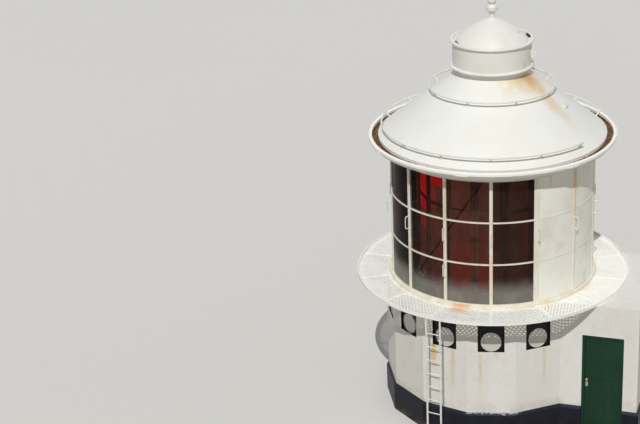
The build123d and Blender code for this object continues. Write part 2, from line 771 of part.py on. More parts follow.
def make_post(radius):
    """A rail post at right angles to the roof, with its foot and the knuckle that holds the rail."""
    foot_radius, foot_z, top_z = rail_place(radius)
    post_plane = Plane((foot_radius, 0, foot_z), x_dir=(0, 1, 0), z_dir=(sin(roof_pitch), 0, cos(roof_pitch)))
    with BuildPart() as post:
        with BuildSketch(post_plane.offset(seat_gap)):
            Circle(foot_r)
        extrude(amount=foot_t)
        with BuildSketch(post_plane.offset(seat_gap)):
            Circle(post_r)
        extrude(amount=rail_stand - seat_gap)
        with BuildSketch(Plane((radius, 0, top_z), x_dir=(1, 0, 0), z_dir=(0, 1, 0))):
            Circle(knuckle_r)
        extrude(amount=knuckle_l / 2, both=True)
    return post.part


def make_rail(radius, posts, start_angle):
    """A tube rail in arcs that end at the knuckles."""
    top_z = rail_place(radius)[2]
    with BuildPart() as rail:
        with BuildSketch(Plane.XZ):
            with Locations((radius, top_z)):
                Circle(rail_r)
        revolve(axis=Axis.Z)
        with PolarLocations(radius, posts, start_angle=start_angle):
            with Locations((0, 0, top_z)):
                Box(4 * rail_r, knuckle_l + 2 * seat_gap, 4 * rail_r, mode=Mode.SUBTRACT)
    return rail.part


lower_post = make_post(lower_rail_r)
upper_post = make_post(upper_rail_r)
lower_posts = sides - lower_rail_open + 1
open_angle = lower_rail_open * step / 2
with BuildPart() as rail_posts:
    with PolarLocations(0, lower_posts, start_angle=open_angle, angular_range=lower_posts * step):
        add(lower_post)
    with PolarLocations(0, upper_posts, start_angle=upper_post_angle):
        add(upper_post)
rail_posts.part.label = "rail_posts"
export_step(rail_posts.part, "parts/rail_posts.step")

lower_arcs = make_rail(lower_rail_r, sides, 0)
upper_arcs = make_rail(upper_rail_r, upper_posts, upper_post_angle)
with BuildPart() as roof_rails:
    add(lower_arcs)
    with BuildSketch(Plane.XY.offset(rail_place(lower_rail_r)[2] - 2 * rail_r)):
        landward_wedge(open_angle, Mode.ADD)
    extrude(amount=4 * rail_r, mode=Mode.SUBTRACT)
    add(upper_arcs)
roof_rails.part.label = "roof_rails"
export_step(roof_rails.part, "parts/roof_rails.step")

# Ventilator: neck and drum, lip, dome and finial
neck_z = roof_z(neck_r) - sheet_drop - neck_below
drum_z = roof_z(neck_r) + neck_h
drum_top = drum_z + drum_h
with BuildPart() as vent_drum:
    with BuildSketch(Plane.XY.offset(neck_z)):
        Circle(neck_r)
    extrude(amount=drum_z - neck_z)
    with BuildSketch(Plane.XY.offset(drum_z)):
        Circle(drum_r)
    extrude(amount=drum_h)
    with BuildSketch(Plane.XZ):
        with Locations((drum_r + bead_r, drum_z + bead_r)):
            Circle(bead_r)
        with Locations((drum_r, drum_z + bead_r)):
            Rectangle(2 * bead_r, 2 * bead_r)
    revolve(axis=Axis.Z)
vent_drum.part.label = "vent_drum"
export_step(vent_drum.part, "parts/vent_drum.step")

lip_top = drum_top + lip_h
with BuildPart() as vent_lip:
    with BuildSketch(Plane.XZ):
        with BuildLine():
            lip_in = lip_r - lip_w
            Polyline((0, drum_top), (lip_r - lip_w / 3, drum_top))
            ThreePointArc((lip_r - lip_w / 3, drum_top), (lip_r, drum_top + lip_h / 2), (lip_r - lip_w / 3, lip_top))
            Polyline((lip_r - lip_w / 3, lip_top), (lip_in, lip_top), (lip_in, drum_top + lip_floor_t))
            Polyline((lip_in, drum_top + lip_floor_t), (0, drum_top + lip_floor_t), (0, drum_top))
        make_face()
    revolve(axis=Axis.Z)
vent_lip.part.label = "vent_lip"
export_step(vent_lip.part, "parts/vent_lip.step")

dome_z = drum_top + lip_floor_t
dome_shoulder = Vector(dome_r, dome_z + dome_skirt)
dome_crown = Vector(dome_crown_r, dome_z + dome_h - dome_crown_down)
dome_top = (stem_r, dome_z + dome_h)
dome_chord = dome_crown - dome_shoulder
dome_sag = (dome_arc_r**2 - (dome_chord.length / 2) ** 2) ** 0.5
dome_centre = (dome_shoulder + dome_crown) / 2 + Vector(-dome_chord.Y, dome_chord.X).normalized() * dome_sag
with BuildPart() as vent_dome:
    with BuildSketch(Plane.XZ):
        with BuildLine():
            Polyline((0, dome_z), (dome_r, dome_z), dome_shoulder)
            RadiusArc(dome_shoulder, dome_crown, -dome_arc_r)
            Line(dome_crown, dome_top)
            Polyline(dome_top, (0, dome_z + dome_h), (0, dome_z))
        make_face()
    revolve(axis=Axis.Z)
vent_dome.part.label = "vent_dome"
export_step(vent_dome.part, "parts/vent_dome.step")

stem_z = dome_z + dome_h
ball_z = stem_z + stem_h
upper_z = ball_z + finial_ball_h
rod_z = upper_z + finial_upper_h
with BuildPart() as finial:
    with BuildSketch(Plane.XZ):
        with BuildLine():
            Polyline((0, stem_z), (stem_r, stem_z), (stem_r - 5, ball_z - 8), (stem_r + 18, ball_z))
            Polyline(
                (stem_r + 18, ball_z),
                (finial_r, ball_z + 0.3 * finial_ball_h),
                (finial_r, ball_z + 0.68 * finial_ball_h),
                (finial_r * 0.72, ball_z + 0.96 * finial_ball_h),
                (stem_r * 0.8, upper_z),
            )
            ThreePointArc(
                (stem_r * 0.8, upper_z),
                (finial_upper_r, upper_z + finial_upper_h / 2),
                (stem_r * 0.4, rod_z),
            )
            Polyline((stem_r * 0.4, rod_z), (rod_r, rod_z), (rod_tip_r, rod_z + rod_h))
            Polyline((rod_tip_r, rod_z + rod_h), (0, rod_z + rod_h), (0, stem_z))
        make_face()
    revolve(axis=Axis.Z)
finial.part.label = "finial"
export_step(finial.part, "parts/finial.step")

# Earth strap down the dome and drum, with the small fixings beside it
band_r = (dome_arc_r + 2 * seat_gap, dome_arc_r + 2 * seat_gap + strap_band_t)
band_ends = [
    [dome_centre + (point - dome_centre).normalized() * radius for point in (dome_shoulder, dome_crown)]
    for radius in band_r
]
with BuildPart() as earth_strap:
    with BuildSketch(Plane.XZ):
        with BuildLine():
            RadiusArc(band_ends[0][0], band_ends[0][1], -band_r[0])
            Line(band_ends[0][1], band_ends[1][1])
            RadiusArc(band_ends[1][0], band_ends[1][1], -band_r[1])
            Line(band_ends[1][0], band_ends[0][0])
        make_face()
    extrude(amount=strap_band_w / 2, both=True)
    span_box(
        (drum_r + seat_gap, drum_r + seat_gap + strap_band_t),
        (-strap_band_w / 2, strap_band_w / 2),
        (drum_z + 2 * bead_r + seat_gap, drum_top - seat_gap),
    )
earth_strap.part.label = "earth_strap"
export_step(earth_strap.part, "parts/earth_strap.step")

cleat_rise = (dome_arc_r**2 - (cleat_r - dome_centre.X) ** 2) ** 0.5
cleat_normal = Vector(cleat_r - dome_centre.X, cleat_rise).normalized()
with BuildPart() as roof_fixings:
    cleat_plane = Plane(
        (cleat_r, 0, dome_centre.Y + cleat_rise),
        x_dir=(cleat_normal.Y, 0, -cleat_normal.X),
        z_dir=(cleat_normal.X, 0, cleat_normal.Y),
    )
    with BuildSketch(cleat_plane.offset(3 * seat_gap + strap_band_t)):
        Rectangle(cleat_size[0], cleat_size[1])
    extrude(amount=cleat_size[2])
    lug_mid_z = drum_z + 0.55 * drum_h
    lug_face = drum_r + 3 * seat_gap + strap_band_t
    with BuildSketch(Plane.XZ):
        Polygon(
            (lug_face, lug_mid_z - lug_h / 2),
            (lug_face + lug_out, lug_mid_z - lug_h / 8),
            (lug_face + lug_out, lug_mid_z + lug_h / 8),
            (lug_face, lug_mid_z + lug_h / 2),
            align=None,
        )
        with Locations((lug_face + lug_out / 2, lug_mid_z)):
            Circle(lug_hole_r, mode=Mode.SUBTRACT)
    extrude(amount=lug_t / 2, both=True)
    cap_plane = Plane(
        (cap_r * cos(radians(cap_angle)), cap_r * sin(radians(cap_angle)), roof_z(cap_r)),
        x_dir=(
            cos(roof_pitch) * cos(radians(cap_angle)),
            cos(roof_pitch) * sin(radians(cap_angle)),
            -sin(roof_pitch),
        ),
        z_dir=(
            sin(roof_pitch) * cos(radians(cap_angle)),
            sin(roof_pitch) * sin(radians(cap_angle)),
            cos(roof_pitch),
        ),
    )
    with BuildSketch(cap_plane.offset(seat_gap)):
        Rectangle(cap_size[0], cap_size[1])
    extrude(amount=cap_size[2], taper=10)
roof_fixings.part.label = "roof_fixings"
export_step(roof_fixings.part, "parts/roof_fixings.step")

# Ladder under the walkway's rim
ladder_plane = Plane.XY.rotated((0, 0, ladder_side * step + ladder_turn))
with BuildPart() as ladder_stringers:
    for shape_h, foot in ((wall_top - seat_gap, False), (ladder_pad[2], True)):
        with BuildSketch(ladder_plane):
            for side in (1, -1):
                with Locations((ladder_r, side * ladder_w / 2)):
                    if foot:
                        RectangleRounded(ladder_pad[0], ladder_pad[1], ladder_pad[1] / 6)
                    else:
                        Circle(stringer_r)
        extrude(amount=shape_h)
ladder_stringers.part.label = "ladder_stringers"
export_step(ladder_stringers.part, "parts/ladder_stringers.step")

with BuildPart() as ladder_rungs:
    rung_l = ladder_w - 2 * (stringer_r + seat_gap)
    rung_plane = Plane(
        ladder_plane.from_local_coords((ladder_r, 0, 0)),
        x_dir=(0, 0, 1),
        z_dir=ladder_plane.y_dir,
    )
    with BuildSketch(rung_plane):
        for i in range(rung_count):
            with Locations((wall_top - top_rung_down - i * rung_pitch, 0)):
                Circle(rung_r)
    extrude(amount=rung_l / 2, both=True)
ladder_rungs.part.label = "ladder_rungs"
export_step(ladder_rungs.part, "parts/ladder_rungs.step")
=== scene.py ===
# %% [markdown]
# # A low lighthouse with a tall glazed lantern
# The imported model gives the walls, the lantern and the roof, and this lesson dresses them: paint,
# rust and glass go on the solids, and small metalwork is modelled round them. Every length is in
# metres, the foot of the wall is at height 0 and the front looks along -Y, so a piece is made where
# it stands.

# %% Load the model
import math

import bmesh
import bpy
from mathutils import Matrix, Vector


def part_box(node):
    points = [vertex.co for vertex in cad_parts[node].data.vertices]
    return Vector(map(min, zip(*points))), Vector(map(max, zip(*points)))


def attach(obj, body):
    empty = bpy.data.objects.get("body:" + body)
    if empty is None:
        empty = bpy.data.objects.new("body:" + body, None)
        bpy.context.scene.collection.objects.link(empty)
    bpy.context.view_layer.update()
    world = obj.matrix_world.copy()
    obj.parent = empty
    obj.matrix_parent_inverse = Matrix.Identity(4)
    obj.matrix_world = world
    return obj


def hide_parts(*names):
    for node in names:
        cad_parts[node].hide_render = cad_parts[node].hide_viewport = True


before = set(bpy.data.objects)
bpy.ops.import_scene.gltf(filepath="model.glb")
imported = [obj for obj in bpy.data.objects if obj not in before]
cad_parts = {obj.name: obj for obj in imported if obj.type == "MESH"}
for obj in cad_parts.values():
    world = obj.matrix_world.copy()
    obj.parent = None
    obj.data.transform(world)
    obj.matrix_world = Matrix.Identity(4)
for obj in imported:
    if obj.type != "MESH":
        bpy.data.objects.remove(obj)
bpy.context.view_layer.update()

# %% [markdown]
# ## The sizes that the metalwork is fitted to
# A lighthouse of this kind is laid out on a circle: fourteen bays, each between two upright bars.
# The levels are read from the solids themselves, so a changed wall carries its fittings with it.

# %% The bay and the levels
BAYS = 14
BAY = 2 * math.pi / BAYS
LOW, HIGH = 0, 1  # the two corners of a part's box
deck_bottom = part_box("walkway_plates")[LOW].z
deck_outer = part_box("walkway_plates")[HIGH].y
deck_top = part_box("walkway_strips")[LOW].z
curb_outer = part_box("curb_ring")[HIGH].y
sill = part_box("curb_ring")[HIGH].z
bar_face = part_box("astragals")[HIGH].x
ring_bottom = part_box("head_ring")[LOW].z
pane_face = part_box("glass_middle")[HIGH].y
print("deck at", round(deck_top, 3), "m, curb radius", round(curb_outer, 3))
print("panes from", round(sill, 3), "to", round(ring_bottom, 3), "m high")

# %% [markdown]
# ## Helpers for working on one piece at a time
# Edit-mode tools act on everything that is selected, and a loaded model starts out selected. So each
# step first clears the selection, opens one piece, and picks its faces or edges by where they lie.

# %% Open, pick, close
def clear_selection():
    """Leaves nothing selected."""
    bpy.ops.object.select_all(action="DESELECT")


def alone(piece):
    """Makes this piece the only selected one."""
    clear_selection()
    piece.select_set(True)
    bpy.context.view_layer.objects.active = piece


def opened(piece, kind="FACE"):
    """Opens the piece in edit mode with nothing selected."""
    alone(piece)
    bpy.ops.object.mode_set(mode="EDIT")
    bpy.ops.mesh.select_mode(type=kind)
    bpy.ops.mesh.select_all(action="DESELECT")


def pick(piece, kind, wanted):
    """Selects the verts, edges or faces for which wanted(element) holds."""
    shape = bmesh.from_edit_mesh(piece.data)
    for element in getattr(shape, kind):
        if wanted(element):
            element.select_set(True)
    shape.select_flush_mode()
    bmesh.update_edit_mesh(piece.data)


def closed(piece):
    """Leaves edit mode and puts the piece's place into its mesh."""
    bpy.ops.object.mode_set(mode="OBJECT")
    alone(piece)
    bpy.ops.object.transform_apply(location=True, rotation=True, scale=True)


def middle(element):
    """The middle of an edge, or of a face."""
    points = [corner.co for corner in element.verts]
    return sum(points, Vector()) / len(points)


def new_piece(name):
    """Names what a primitive operator has just made."""
    piece = bpy.context.object
    piece.name = name
    piece.data.name = name
    return piece


def with_modifier(piece, kind, **settings):
    """Adds a modifier, sets it and applies it."""
    alone(piece)
    modifier = piece.modifiers.new(kind.lower(), kind)
    for key, value in settings.items():
        setattr(modifier, key, value)
    bpy.ops.object.modifier_apply(modifier=modifier.name)


def turned_copy(piece, name, angle):
    """A copy with its own mesh, turned about the tower's axis."""
    copy = piece.copy()
    copy.data = piece.data.copy()
    copy.name = name
    copy.data.name = name
    copy.data.transform(Matrix.Rotation(angle, 4, "Z"))
    bpy.context.scene.collection.objects.link(copy)
    return copy


def joined(pieces, name):
    """Several pieces made into one."""
    clear_selection()
    for piece in pieces:
        piece.select_set(True)
    bpy.context.view_layer.objects.active = pieces[0]
    bpy.ops.object.join()
    whole = bpy.context.object
    whole.name = name
    whole.data.name = name
    return whole


DOUBLED = 0.00005  # points closer together than this are one


def face_out(piece):
    """Turns every face outwards, once doubled points are merged."""
    opened(piece, "VERT")
    bpy.ops.mesh.select_all(action="SELECT")
    bpy.ops.mesh.remove_doubles(threshold=DOUBLED)
    bpy.ops.mesh.normals_make_consistent(inside=False)
    closed(piece)


made = []


def settle(piece, body="building", stands_for=None, smooth=35):
    """Rounds the shading over edges flatter than smooth degrees, and lets the piece ride on its body."""
    alone(piece)
    bpy.ops.object.shade_smooth_by_angle(angle=math.radians(smooth))
    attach(piece, body)
    if stands_for:
        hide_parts(stands_for)
    piece.data.calc_loop_triangles()
    made.append((piece.name, len(piece.data.loop_triangles)))


# %% [markdown]
# ## The punched walkway
# The walkway round the lantern is floored with punched steel sheets, so light falls through them onto
# the wall as rows of dots. Painted dots would never do that: the holes have to be real. One hole is made
# in one square of sheet, by an inset and a cut across its corners, and two array modifiers repeat it.
# The rows are laid at 45 degrees, as in the real sheet, which makes each row step half a hole.

# %% One hole, then a field of holes
HOLE_PITCH = 0.064
HOLE_WIDTH = 0.038
CORNER_CUT = 0.29 * HOLE_WIDTH  # makes a square hole eight-sided
FIELD = 25  # squares along each side of the field
FIELD_RADIUS = 2.5  # of the middle of the field
WELD = 0.0004
sheet_level = (deck_bottom + deck_top) / 2
reach = (FIELD - 1) / 2 * HOLE_PITCH * math.sqrt(2)
clear_selection()
bpy.ops.mesh.primitive_plane_add(
    size=HOLE_PITCH, location=(FIELD_RADIUS, -reach, sheet_level), rotation=(0, 0, math.pi / 4)
)
punched = new_piece("punched_sheet")
opened(punched)
bpy.ops.mesh.select_all(action="SELECT")
bpy.ops.mesh.inset(thickness=(HOLE_PITCH - HOLE_WIDTH) / 2)
bpy.ops.mesh.select_mode(type="VERT")
bpy.ops.mesh.bevel(offset=CORNER_CUT, affect="VERTICES")
bpy.ops.mesh.select_mode(type="FACE")
bpy.ops.mesh.select_all(action="DESELECT")
pick(punched, "faces", lambda face: len(face.verts) == 8)
bpy.ops.mesh.delete(type="FACE")
bpy.ops.object.mode_set(mode="OBJECT")
for step in ((HOLE_PITCH, 0, 0), (0, HOLE_PITCH, 0)):
    with_modifier(
        punched, "ARRAY", count=FIELD, use_relative_offset=False, use_constant_offset=True,
        constant_offset_displace=step, use_merge_vertices=True, merge_threshold=WELD,
    )
closed(punched)
print("faces in the field:", len(punched.data.polygons))

# %% [markdown]
# The field is cut down to one bay. The two straight sides are bisected, because a sheet is sheared
# there. Along the arcs whole squares are dropped instead, and a flat border hides the uneven ends.

# %% Trim the field to one bay
BORDER_IN = 0.062  # width of the flat border along the curb
BORDER_OUT = 0.095  # along the rim
SIDE_BAR = 0.030  # along each straight side
SHEET_SHARE = 0.96  # of the solid's thickness, so that the sheet stays within it
sheet_inner = curb_outer + BORDER_IN / 2
sheet_outer = deck_outer - BORDER_OUT / 2
opened(punched)
for side in (-1, 1):
    bpy.ops.mesh.select_all(action="SELECT")
    slope = side * BAY / 2
    across = Vector((-math.sin(slope), math.cos(slope), 0)) * side
    bpy.ops.mesh.bisect(plane_co=-across * SIDE_BAR / 2, plane_no=across, clear_outer=True)
bpy.ops.mesh.select_mode(type="FACE")
bpy.ops.mesh.select_all(action="DESELECT")
pick(punched, "faces", lambda face: not sheet_inner < middle(face).xy.length < sheet_outer)
bpy.ops.mesh.delete(type="FACE")
closed(punched)
sheet_thick = (deck_top - deck_bottom) * SHEET_SHARE
with_modifier(punched, "SOLIDIFY", thickness=sheet_thick, offset=0, use_rim=True)
print("faces in one sheet:", len(punched.data.polygons))

# %% [markdown]
# The unpunched border of each sheet is its frame: two arcs and two side bars. An arc is swept from a
# small upright rectangle by the spin tool, which keeps its edges true to the circle.

# %% The border of one bay
ARC_STEPS = 10
HALF_JOINT = 0.0006  # half the angle left open between two sheets
CURB_GAP = 0.001
SIDE_LAP = 0.004  # of a side bar under each arc


def swept_arc(name, inner, outer, start, sweep):
    """A flat bar, as thick as the walkway, bent round the tower over the angle sweep."""
    clear_selection()
    bpy.ops.mesh.primitive_plane_add(size=1, location=(0, 0, 0), rotation=(math.pi / 2, 0, 0))
    bar = new_piece(name)
    bpy.ops.object.transform_apply(location=True, rotation=True, scale=True)
    bar.data.transform(Matrix.Diagonal((outer - inner, 1, deck_top - deck_bottom, 1)))
    bar.data.transform(Matrix.Translation(((inner + outer) / 2, 0, sheet_level)))
    bar.data.transform(Matrix.Rotation(start, 4, "Z"))
    opened(bar)
    bpy.ops.mesh.select_all(action="SELECT")
    bpy.ops.mesh.spin(steps=ARC_STEPS, angle=sweep, center=(0, 0, 0), axis=(0, 0, 1))
    closed(bar)
    return bar


bay_half = BAY / 2 - HALF_JOINT
border_parts = [
    swept_arc("border_inner", curb_outer + CURB_GAP, curb_outer + BORDER_IN, -bay_half, 2 * bay_half),
    swept_arc("border_outer", deck_outer - BORDER_OUT, deck_outer, -bay_half, 2 * bay_half),
]
inner = curb_outer + BORDER_IN - SIDE_LAP
outer = deck_outer - BORDER_OUT + SIDE_LAP
for side in (-1, 1):
    clear_selection()
    at = ((inner + outer) / 2, -side * SIDE_BAR / 2, sheet_level)
    bpy.ops.mesh.primitive_cube_add(size=1, location=at)
    bar = new_piece("border_side")
    bpy.ops.transform.resize(value=(outer - inner, SIDE_BAR, deck_top - deck_bottom))
    bpy.ops.object.transform_apply(location=True, rotation=True, scale=True)
    bar.data.transform(Matrix.Rotation(side * bay_half, 4, "Z"))
    border_parts.append(bar)
border = joined(border_parts, "sheet_border")
face_out(border)
one_bay = joined([punched, border], "walkway_sheet")

# %% Copy the sheet round the lantern
for bay in range(BAYS):
    sheet = turned_copy(one_bay, f"walkway_sheet_{bay:02d}", (bay + 0.5) * BAY)
    settle(sheet, stands_for="walkway_plates", smooth=20)
bpy.data.objects.remove(one_bay)
print("one sheet has", made[-1][1], "triangles; sheets:", BAYS)

# %% [markdown]
# ## Caulking along the foot of the curb
# Rain is kept out of the joint between curb and walkway by a bead of caulking, laid by hand and painted
# over. It is a five-sided bar swept round the curb, then pushed in and out a little by three waves,
# since no bead is even.

# %% The bead
BEAD_RADIUS = 0.013
BEAD_OUT = 0.003  # of its middle from the corner
BEAD_STEPS = 210
WAVES = ((17, 0.0011, 0), (41, 0.0009, 1), (83, 0.0006, 0))  # to a turn, size as a share, start
clear_selection()
bpy.ops.mesh.primitive_circle_add(
    vertices=5, radius=BEAD_RADIUS, fill_type="NGON", rotation=(math.pi / 2, 0, 0)
)
bead = new_piece("curb_caulking")
bpy.ops.object.transform_apply(location=True, rotation=True, scale=True)
bead.data.transform(Matrix.Translation((curb_outer + BEAD_OUT, 0, deck_top + BEAD_OUT)))
opened(bead)
bpy.ops.mesh.select_all(action="SELECT")
bpy.ops.mesh.delete(type="ONLY_FACE")
bpy.ops.mesh.select_all(action="SELECT")
bpy.ops.mesh.spin(steps=BEAD_STEPS, angle=2 * math.pi, center=(0, 0, 0), axis=(0, 0, 1))
closed(bead)
for point in bead.data.vertices:
    turn = math.atan2(point.co.y, point.co.x)
    swell = 1 + sum(size * math.sin(times * turn + start) for times, size, start in WAVES)
    point.co.x *= swell
    point.co.y *= swell
face_out(bead)
settle(bead, smooth=60)
print("caulking:", made[-1])

# %% [markdown]
# ## Screws in the upright bars
# Each upright bar clamps the panes beside it with two columns of round-headed screws. One screw head is
# a short eight-sided drum whose top edge is bevelled. An array makes one column of it, and the two
# columns are copied to every bar. A head has few faces, since there are hundreds of them.

# %% One screw, one column, all the bars
ROUNDED = 0.55  # how much of a head's height its bevel takes


def screw_head(name, radius, height, at, facing):
    """A round screw head with its flat back at the point, looking along facing."""
    clear_selection()
    bpy.ops.mesh.primitive_cylinder_add(
        vertices=8, radius=radius, depth=height, location=(0, 0, height / 2)
    )
    head = new_piece(name)
    opened(head, "EDGE")
    pick(head, "edges", lambda edge: all(corner.co.z > 0 for corner in edge.verts))
    bpy.ops.mesh.bevel(offset=height * ROUNDED, segments=1, affect="EDGES")
    closed(head)
    direction = Vector(facing).normalized()
    head.data.transform(direction.to_track_quat("Z", "Y").to_matrix().to_4x4())
    head.data.transform(Matrix.Translation(at))
    return head


SCREW_RADIUS, SCREW_HEIGHT = 0.0075, 0.0045
SCREW_SINK = 0.0002  # into the bar's face
SCREW_ASIDE = 0.0245  # from the middle of the bar
SCREW_FIRST = 0.075  # above the sill
SCREW_STEP = 0.1525
SCREWS = 18  # in a column
columns = []
for side in (-1, 1):
    at = (bar_face - SCREW_SINK, side * SCREW_ASIDE, sill + SCREW_FIRST)
    head = screw_head("screw", SCREW_RADIUS, SCREW_HEIGHT, at, (1, 0, 0))
    with_modifier(
        head, "ARRAY", count=SCREWS, use_relative_offset=False, use_constant_offset=True,
        constant_offset_displace=(0, 0, SCREW_STEP),
    )
    columns.append(head)
column_pair = joined(columns, "bar_screws")
for bay in range(BAYS):
    settle(turned_copy(column_pair, f"bar_screws_{bay:02d}", bay * BAY))
bpy.data.objects.remove(column_pair)
print("screws on each bar:", 2 * SCREWS, "triangles:", made[-1][1])

# %% [markdown]
# ## Cover strips where the glass meets the steel plates
# The last pane before the steel plates is narrower than its bay: a flat strip, run from sill to ring,
# covers its edge. It is one thin box beside the upright bar, with its outer corners bevelled, and the
# other side of the lantern has the same.

# %% The two strips
STRIP_THICK, STRIP_WIDE = 0.008, 0.046
STRIP_OUT = 0.002  # of its middle from the face of the glass
STRIP_ASIDE = 0.057  # of its middle from the middle of the bar
PLATES = 2  # bays of steel plate on each side of the entry's line
strip_middle = (sill + ring_bottom) / 2
for number, side in enumerate((-1, 1)):
    clear_selection()
    at = (pane_face + STRIP_OUT, side * STRIP_ASIDE, strip_middle)
    bpy.ops.mesh.primitive_cube_add(size=1, location=at)
    strip = new_piece(f"cover_strip_{number}")
    bpy.ops.transform.resize(value=(STRIP_THICK, STRIP_WIDE, ring_bottom - sill))
    bpy.ops.object.transform_apply(location=True, rotation=True, scale=True)
    opened(strip, "EDGE")
    pick(strip, "edges", lambda edge: middle(edge).x > at[0] and abs(middle(edge).z - strip_middle) < 1)
    bpy.ops.mesh.bevel(offset=STRIP_THICK / 4, segments=2, affect="EDGES")
    closed(strip)
    strip.data.transform(Matrix.Rotation(side * PLATES * BAY, 4, "Z"))
    settle(strip)
print("cover strips:", number + 1, "beside the face of the glass at", round(pane_face, 3))

# %% [markdown]
# ## The stay rod inside the lantern
# Behind the glass a thin rod runs slantwise from the floor ledge up to the ring over the panes, to keep
# the lantern square in a gale. Its two ends sit in small round feet. It is a thin cylinder set between the
# two points, and the feet are flat drums with a bevelled rim.

# %% Rod and feet
def on_circle(radius, degrees, height):
    """A point at a distance from the axis, its direction counted from the front towards the right."""
    turn = math.radians(degrees)
    return Vector((radius * math.sin(turn), -radius * math.cos(turn), height))


ROD_RADIUS = 0.016
ROD_END = 0.004  # width of the ring inset into each end
FOOT_RADIUS = 0.04
FOOT_HEIGHT, HEAD_HEIGHT = 0.02, 0.034
FOOT_SINK, HEAD_BACK = 0.001, 0.03  # into the ledge, and back from the rod's end towards the ring
HEAD_UP = 0.03  # from the ring's lower edge to the rod's upper end
FLAT = 0.9  # a face counts as facing a way from this share of its normal on
ledge_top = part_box("inner_ledge")[HIGH].z
rod_foot = on_circle(1.99, -47.3, ledge_top)
rod_head = on_circle(2.075, 9.8, ring_bottom + HEAD_UP)
rod_line = rod_head - rod_foot
clear_selection()
bpy.ops.mesh.primitive_cylinder_add(vertices=12, radius=ROD_RADIUS, depth=rod_line.length)
rod = new_piece("stay_rod")
opened(rod, "FACE")
pick(rod, "faces", lambda face: abs(face.normal.z) > FLAT)
bpy.ops.mesh.inset(thickness=ROD_END)
closed(rod)
rod.data.transform(rod_line.to_track_quat("Z", "Y").to_matrix().to_4x4())
rod.data.transform(Matrix.Translation((rod_foot + rod_head) / 2))
toward_axis = Vector((-rod_head.x, -rod_head.y, 0)).normalized()
low_seat = rod_foot - Vector((0, 0, FOOT_SINK))
high_seat = rod_head - toward_axis * HEAD_BACK
feet = [
    screw_head("foot_low", FOOT_RADIUS, FOOT_HEIGHT, low_seat, (0, 0, 1)),
    screw_head("foot_high", FOOT_RADIUS, HEAD_HEIGHT, high_seat, toward_axis),
]
stay = joined([rod] + feet, "stay_rod")
settle(stay)
print("stay rod:", round(rod_line.length, 2), "m long")

# %% [markdown]
# ## The lock on the entry door
# A mortice lock shows as a cover plate with a keyhole under the knob. The plate is a thin box with
# bevelled corners and a raised face. The keyhole's cover and the four screws are small round heads on
# it. All of it rides on the door, so that it swings with it.

# %% Plate, keyhole and screws
PLATE_WIDE, PLATE_THICK, PLATE_HIGH = 0.054, 0.005, 0.105
PLATE_DOWN = 0.115  # of its middle under the knob
PLATE_OUT = 0.0015  # of its middle from the face of the door
PLATE_CORNER = 0.012
PLATE_STEP, PLATE_RAISED = 0.004, 0.001  # the edge left round the raised face, and its rise
HEADS_OUT, HEADS_HIGH = 0.0045, 0.003  # backs of the round heads from the door, and their height
KEYHOLE = (0, 0.015, 0.010)  # across, up and radius
LOCK_SCREWS = [(across, up, 0.004) for up in (0.042, -0.042) for across in (-0.018, 0.018)]
leaf_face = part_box("door_leaf")[LOW].y
knob_low, knob_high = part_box("door_knobs")
knob_x = (knob_low.x + knob_high.x) / 2
plate_z = (knob_low.z + knob_high.z) / 2 - PLATE_DOWN
clear_selection()
bpy.ops.mesh.primitive_cube_add(size=1, location=(knob_x, leaf_face - PLATE_OUT, plate_z))
plate = new_piece("lock_plate")
bpy.ops.transform.resize(value=(PLATE_WIDE, PLATE_THICK, PLATE_HIGH))
bpy.ops.object.transform_apply(location=True, rotation=True, scale=True)
opened(plate, "EDGE")
pick(plate, "edges", lambda edge: abs((edge.verts[0].co - edge.verts[1].co).y) > PLATE_THICK / 2)
bpy.ops.mesh.bevel(offset=PLATE_CORNER, segments=3, affect="EDGES")
bpy.ops.mesh.select_mode(type="FACE")
bpy.ops.mesh.select_all(action="DESELECT")
pick(plate, "faces", lambda face: face.normal.y < -FLAT)
bpy.ops.mesh.inset(thickness=PLATE_STEP)
bpy.ops.transform.translate(value=(0, -PLATE_RAISED, 0))
closed(plate)
fittings = [plate]
for across, up, radius in [KEYHOLE] + LOCK_SCREWS:
    at = (knob_x + across, leaf_face - HEADS_OUT, plate_z + up)
    fittings.append(screw_head("lock_screw", radius, HEADS_HIGH, at, (0, -1, 0)))
lock = joined(fittings, "door_lock_plate")
settle(lock, body="door")
print("lock plate on the door:", made[-1])

# %% [markdown]
# ## Numbers as wires
# A finish is a recipe: where the paint is dirty, chipped or rusty, and what colour and gloss it has there.
# In Blender that is a net of nodes. To read like a recipe, a small class wraps a node's output, so that
# ordinary sums on it add the matching Math nodes.

# %% A signal that does sums
class Signal:
    """One output in a material's net."""

    def __init__(self, finish, socket):
        self.finish = finish
        self.socket = socket

    def sum_node(self, operation, *values):
        """A Math node with these values on its inputs."""
        return self.finish.node("Math", {"operation": operation}, dict(enumerate(values)))

    def __add__(self, other):
        return self.sum_node("ADD", self, other)

    def __radd__(self, other):
        return self.sum_node("ADD", other, self)

    def __sub__(self, other):
        return self.sum_node("SUBTRACT", self, other)

    def __rsub__(self, other):
        return self.sum_node("SUBTRACT", other, self)

    def __mul__(self, other):
        return self.sum_node("MULTIPLY", self, other)

    def __rmul__(self, other):
        return self.sum_node("MULTIPLY", other, self)

    def __truediv__(self, other):
        return self.sum_node("DIVIDE", self, other)

    def __pow__(self, other):
        return self.sum_node("POWER", self, other)

    def size(self):
        """The value without its sign."""
        return self.sum_node("ABSOLUTE", self)

    def lesser(self, other):
        return self.sum_node("MINIMUM", self, other)

    def greater(self, other):
        return self.sum_node("MAXIMUM", self, other)

    def fade(self, start, end):
        """Goes softly from 0 at start to 1 at end."""
        ends = {"Value": self, "From Min": start, "From Max": end}
        return self.finish.node("MapRange", {"interpolation_type": "SMOOTHSTEP"}, ends)


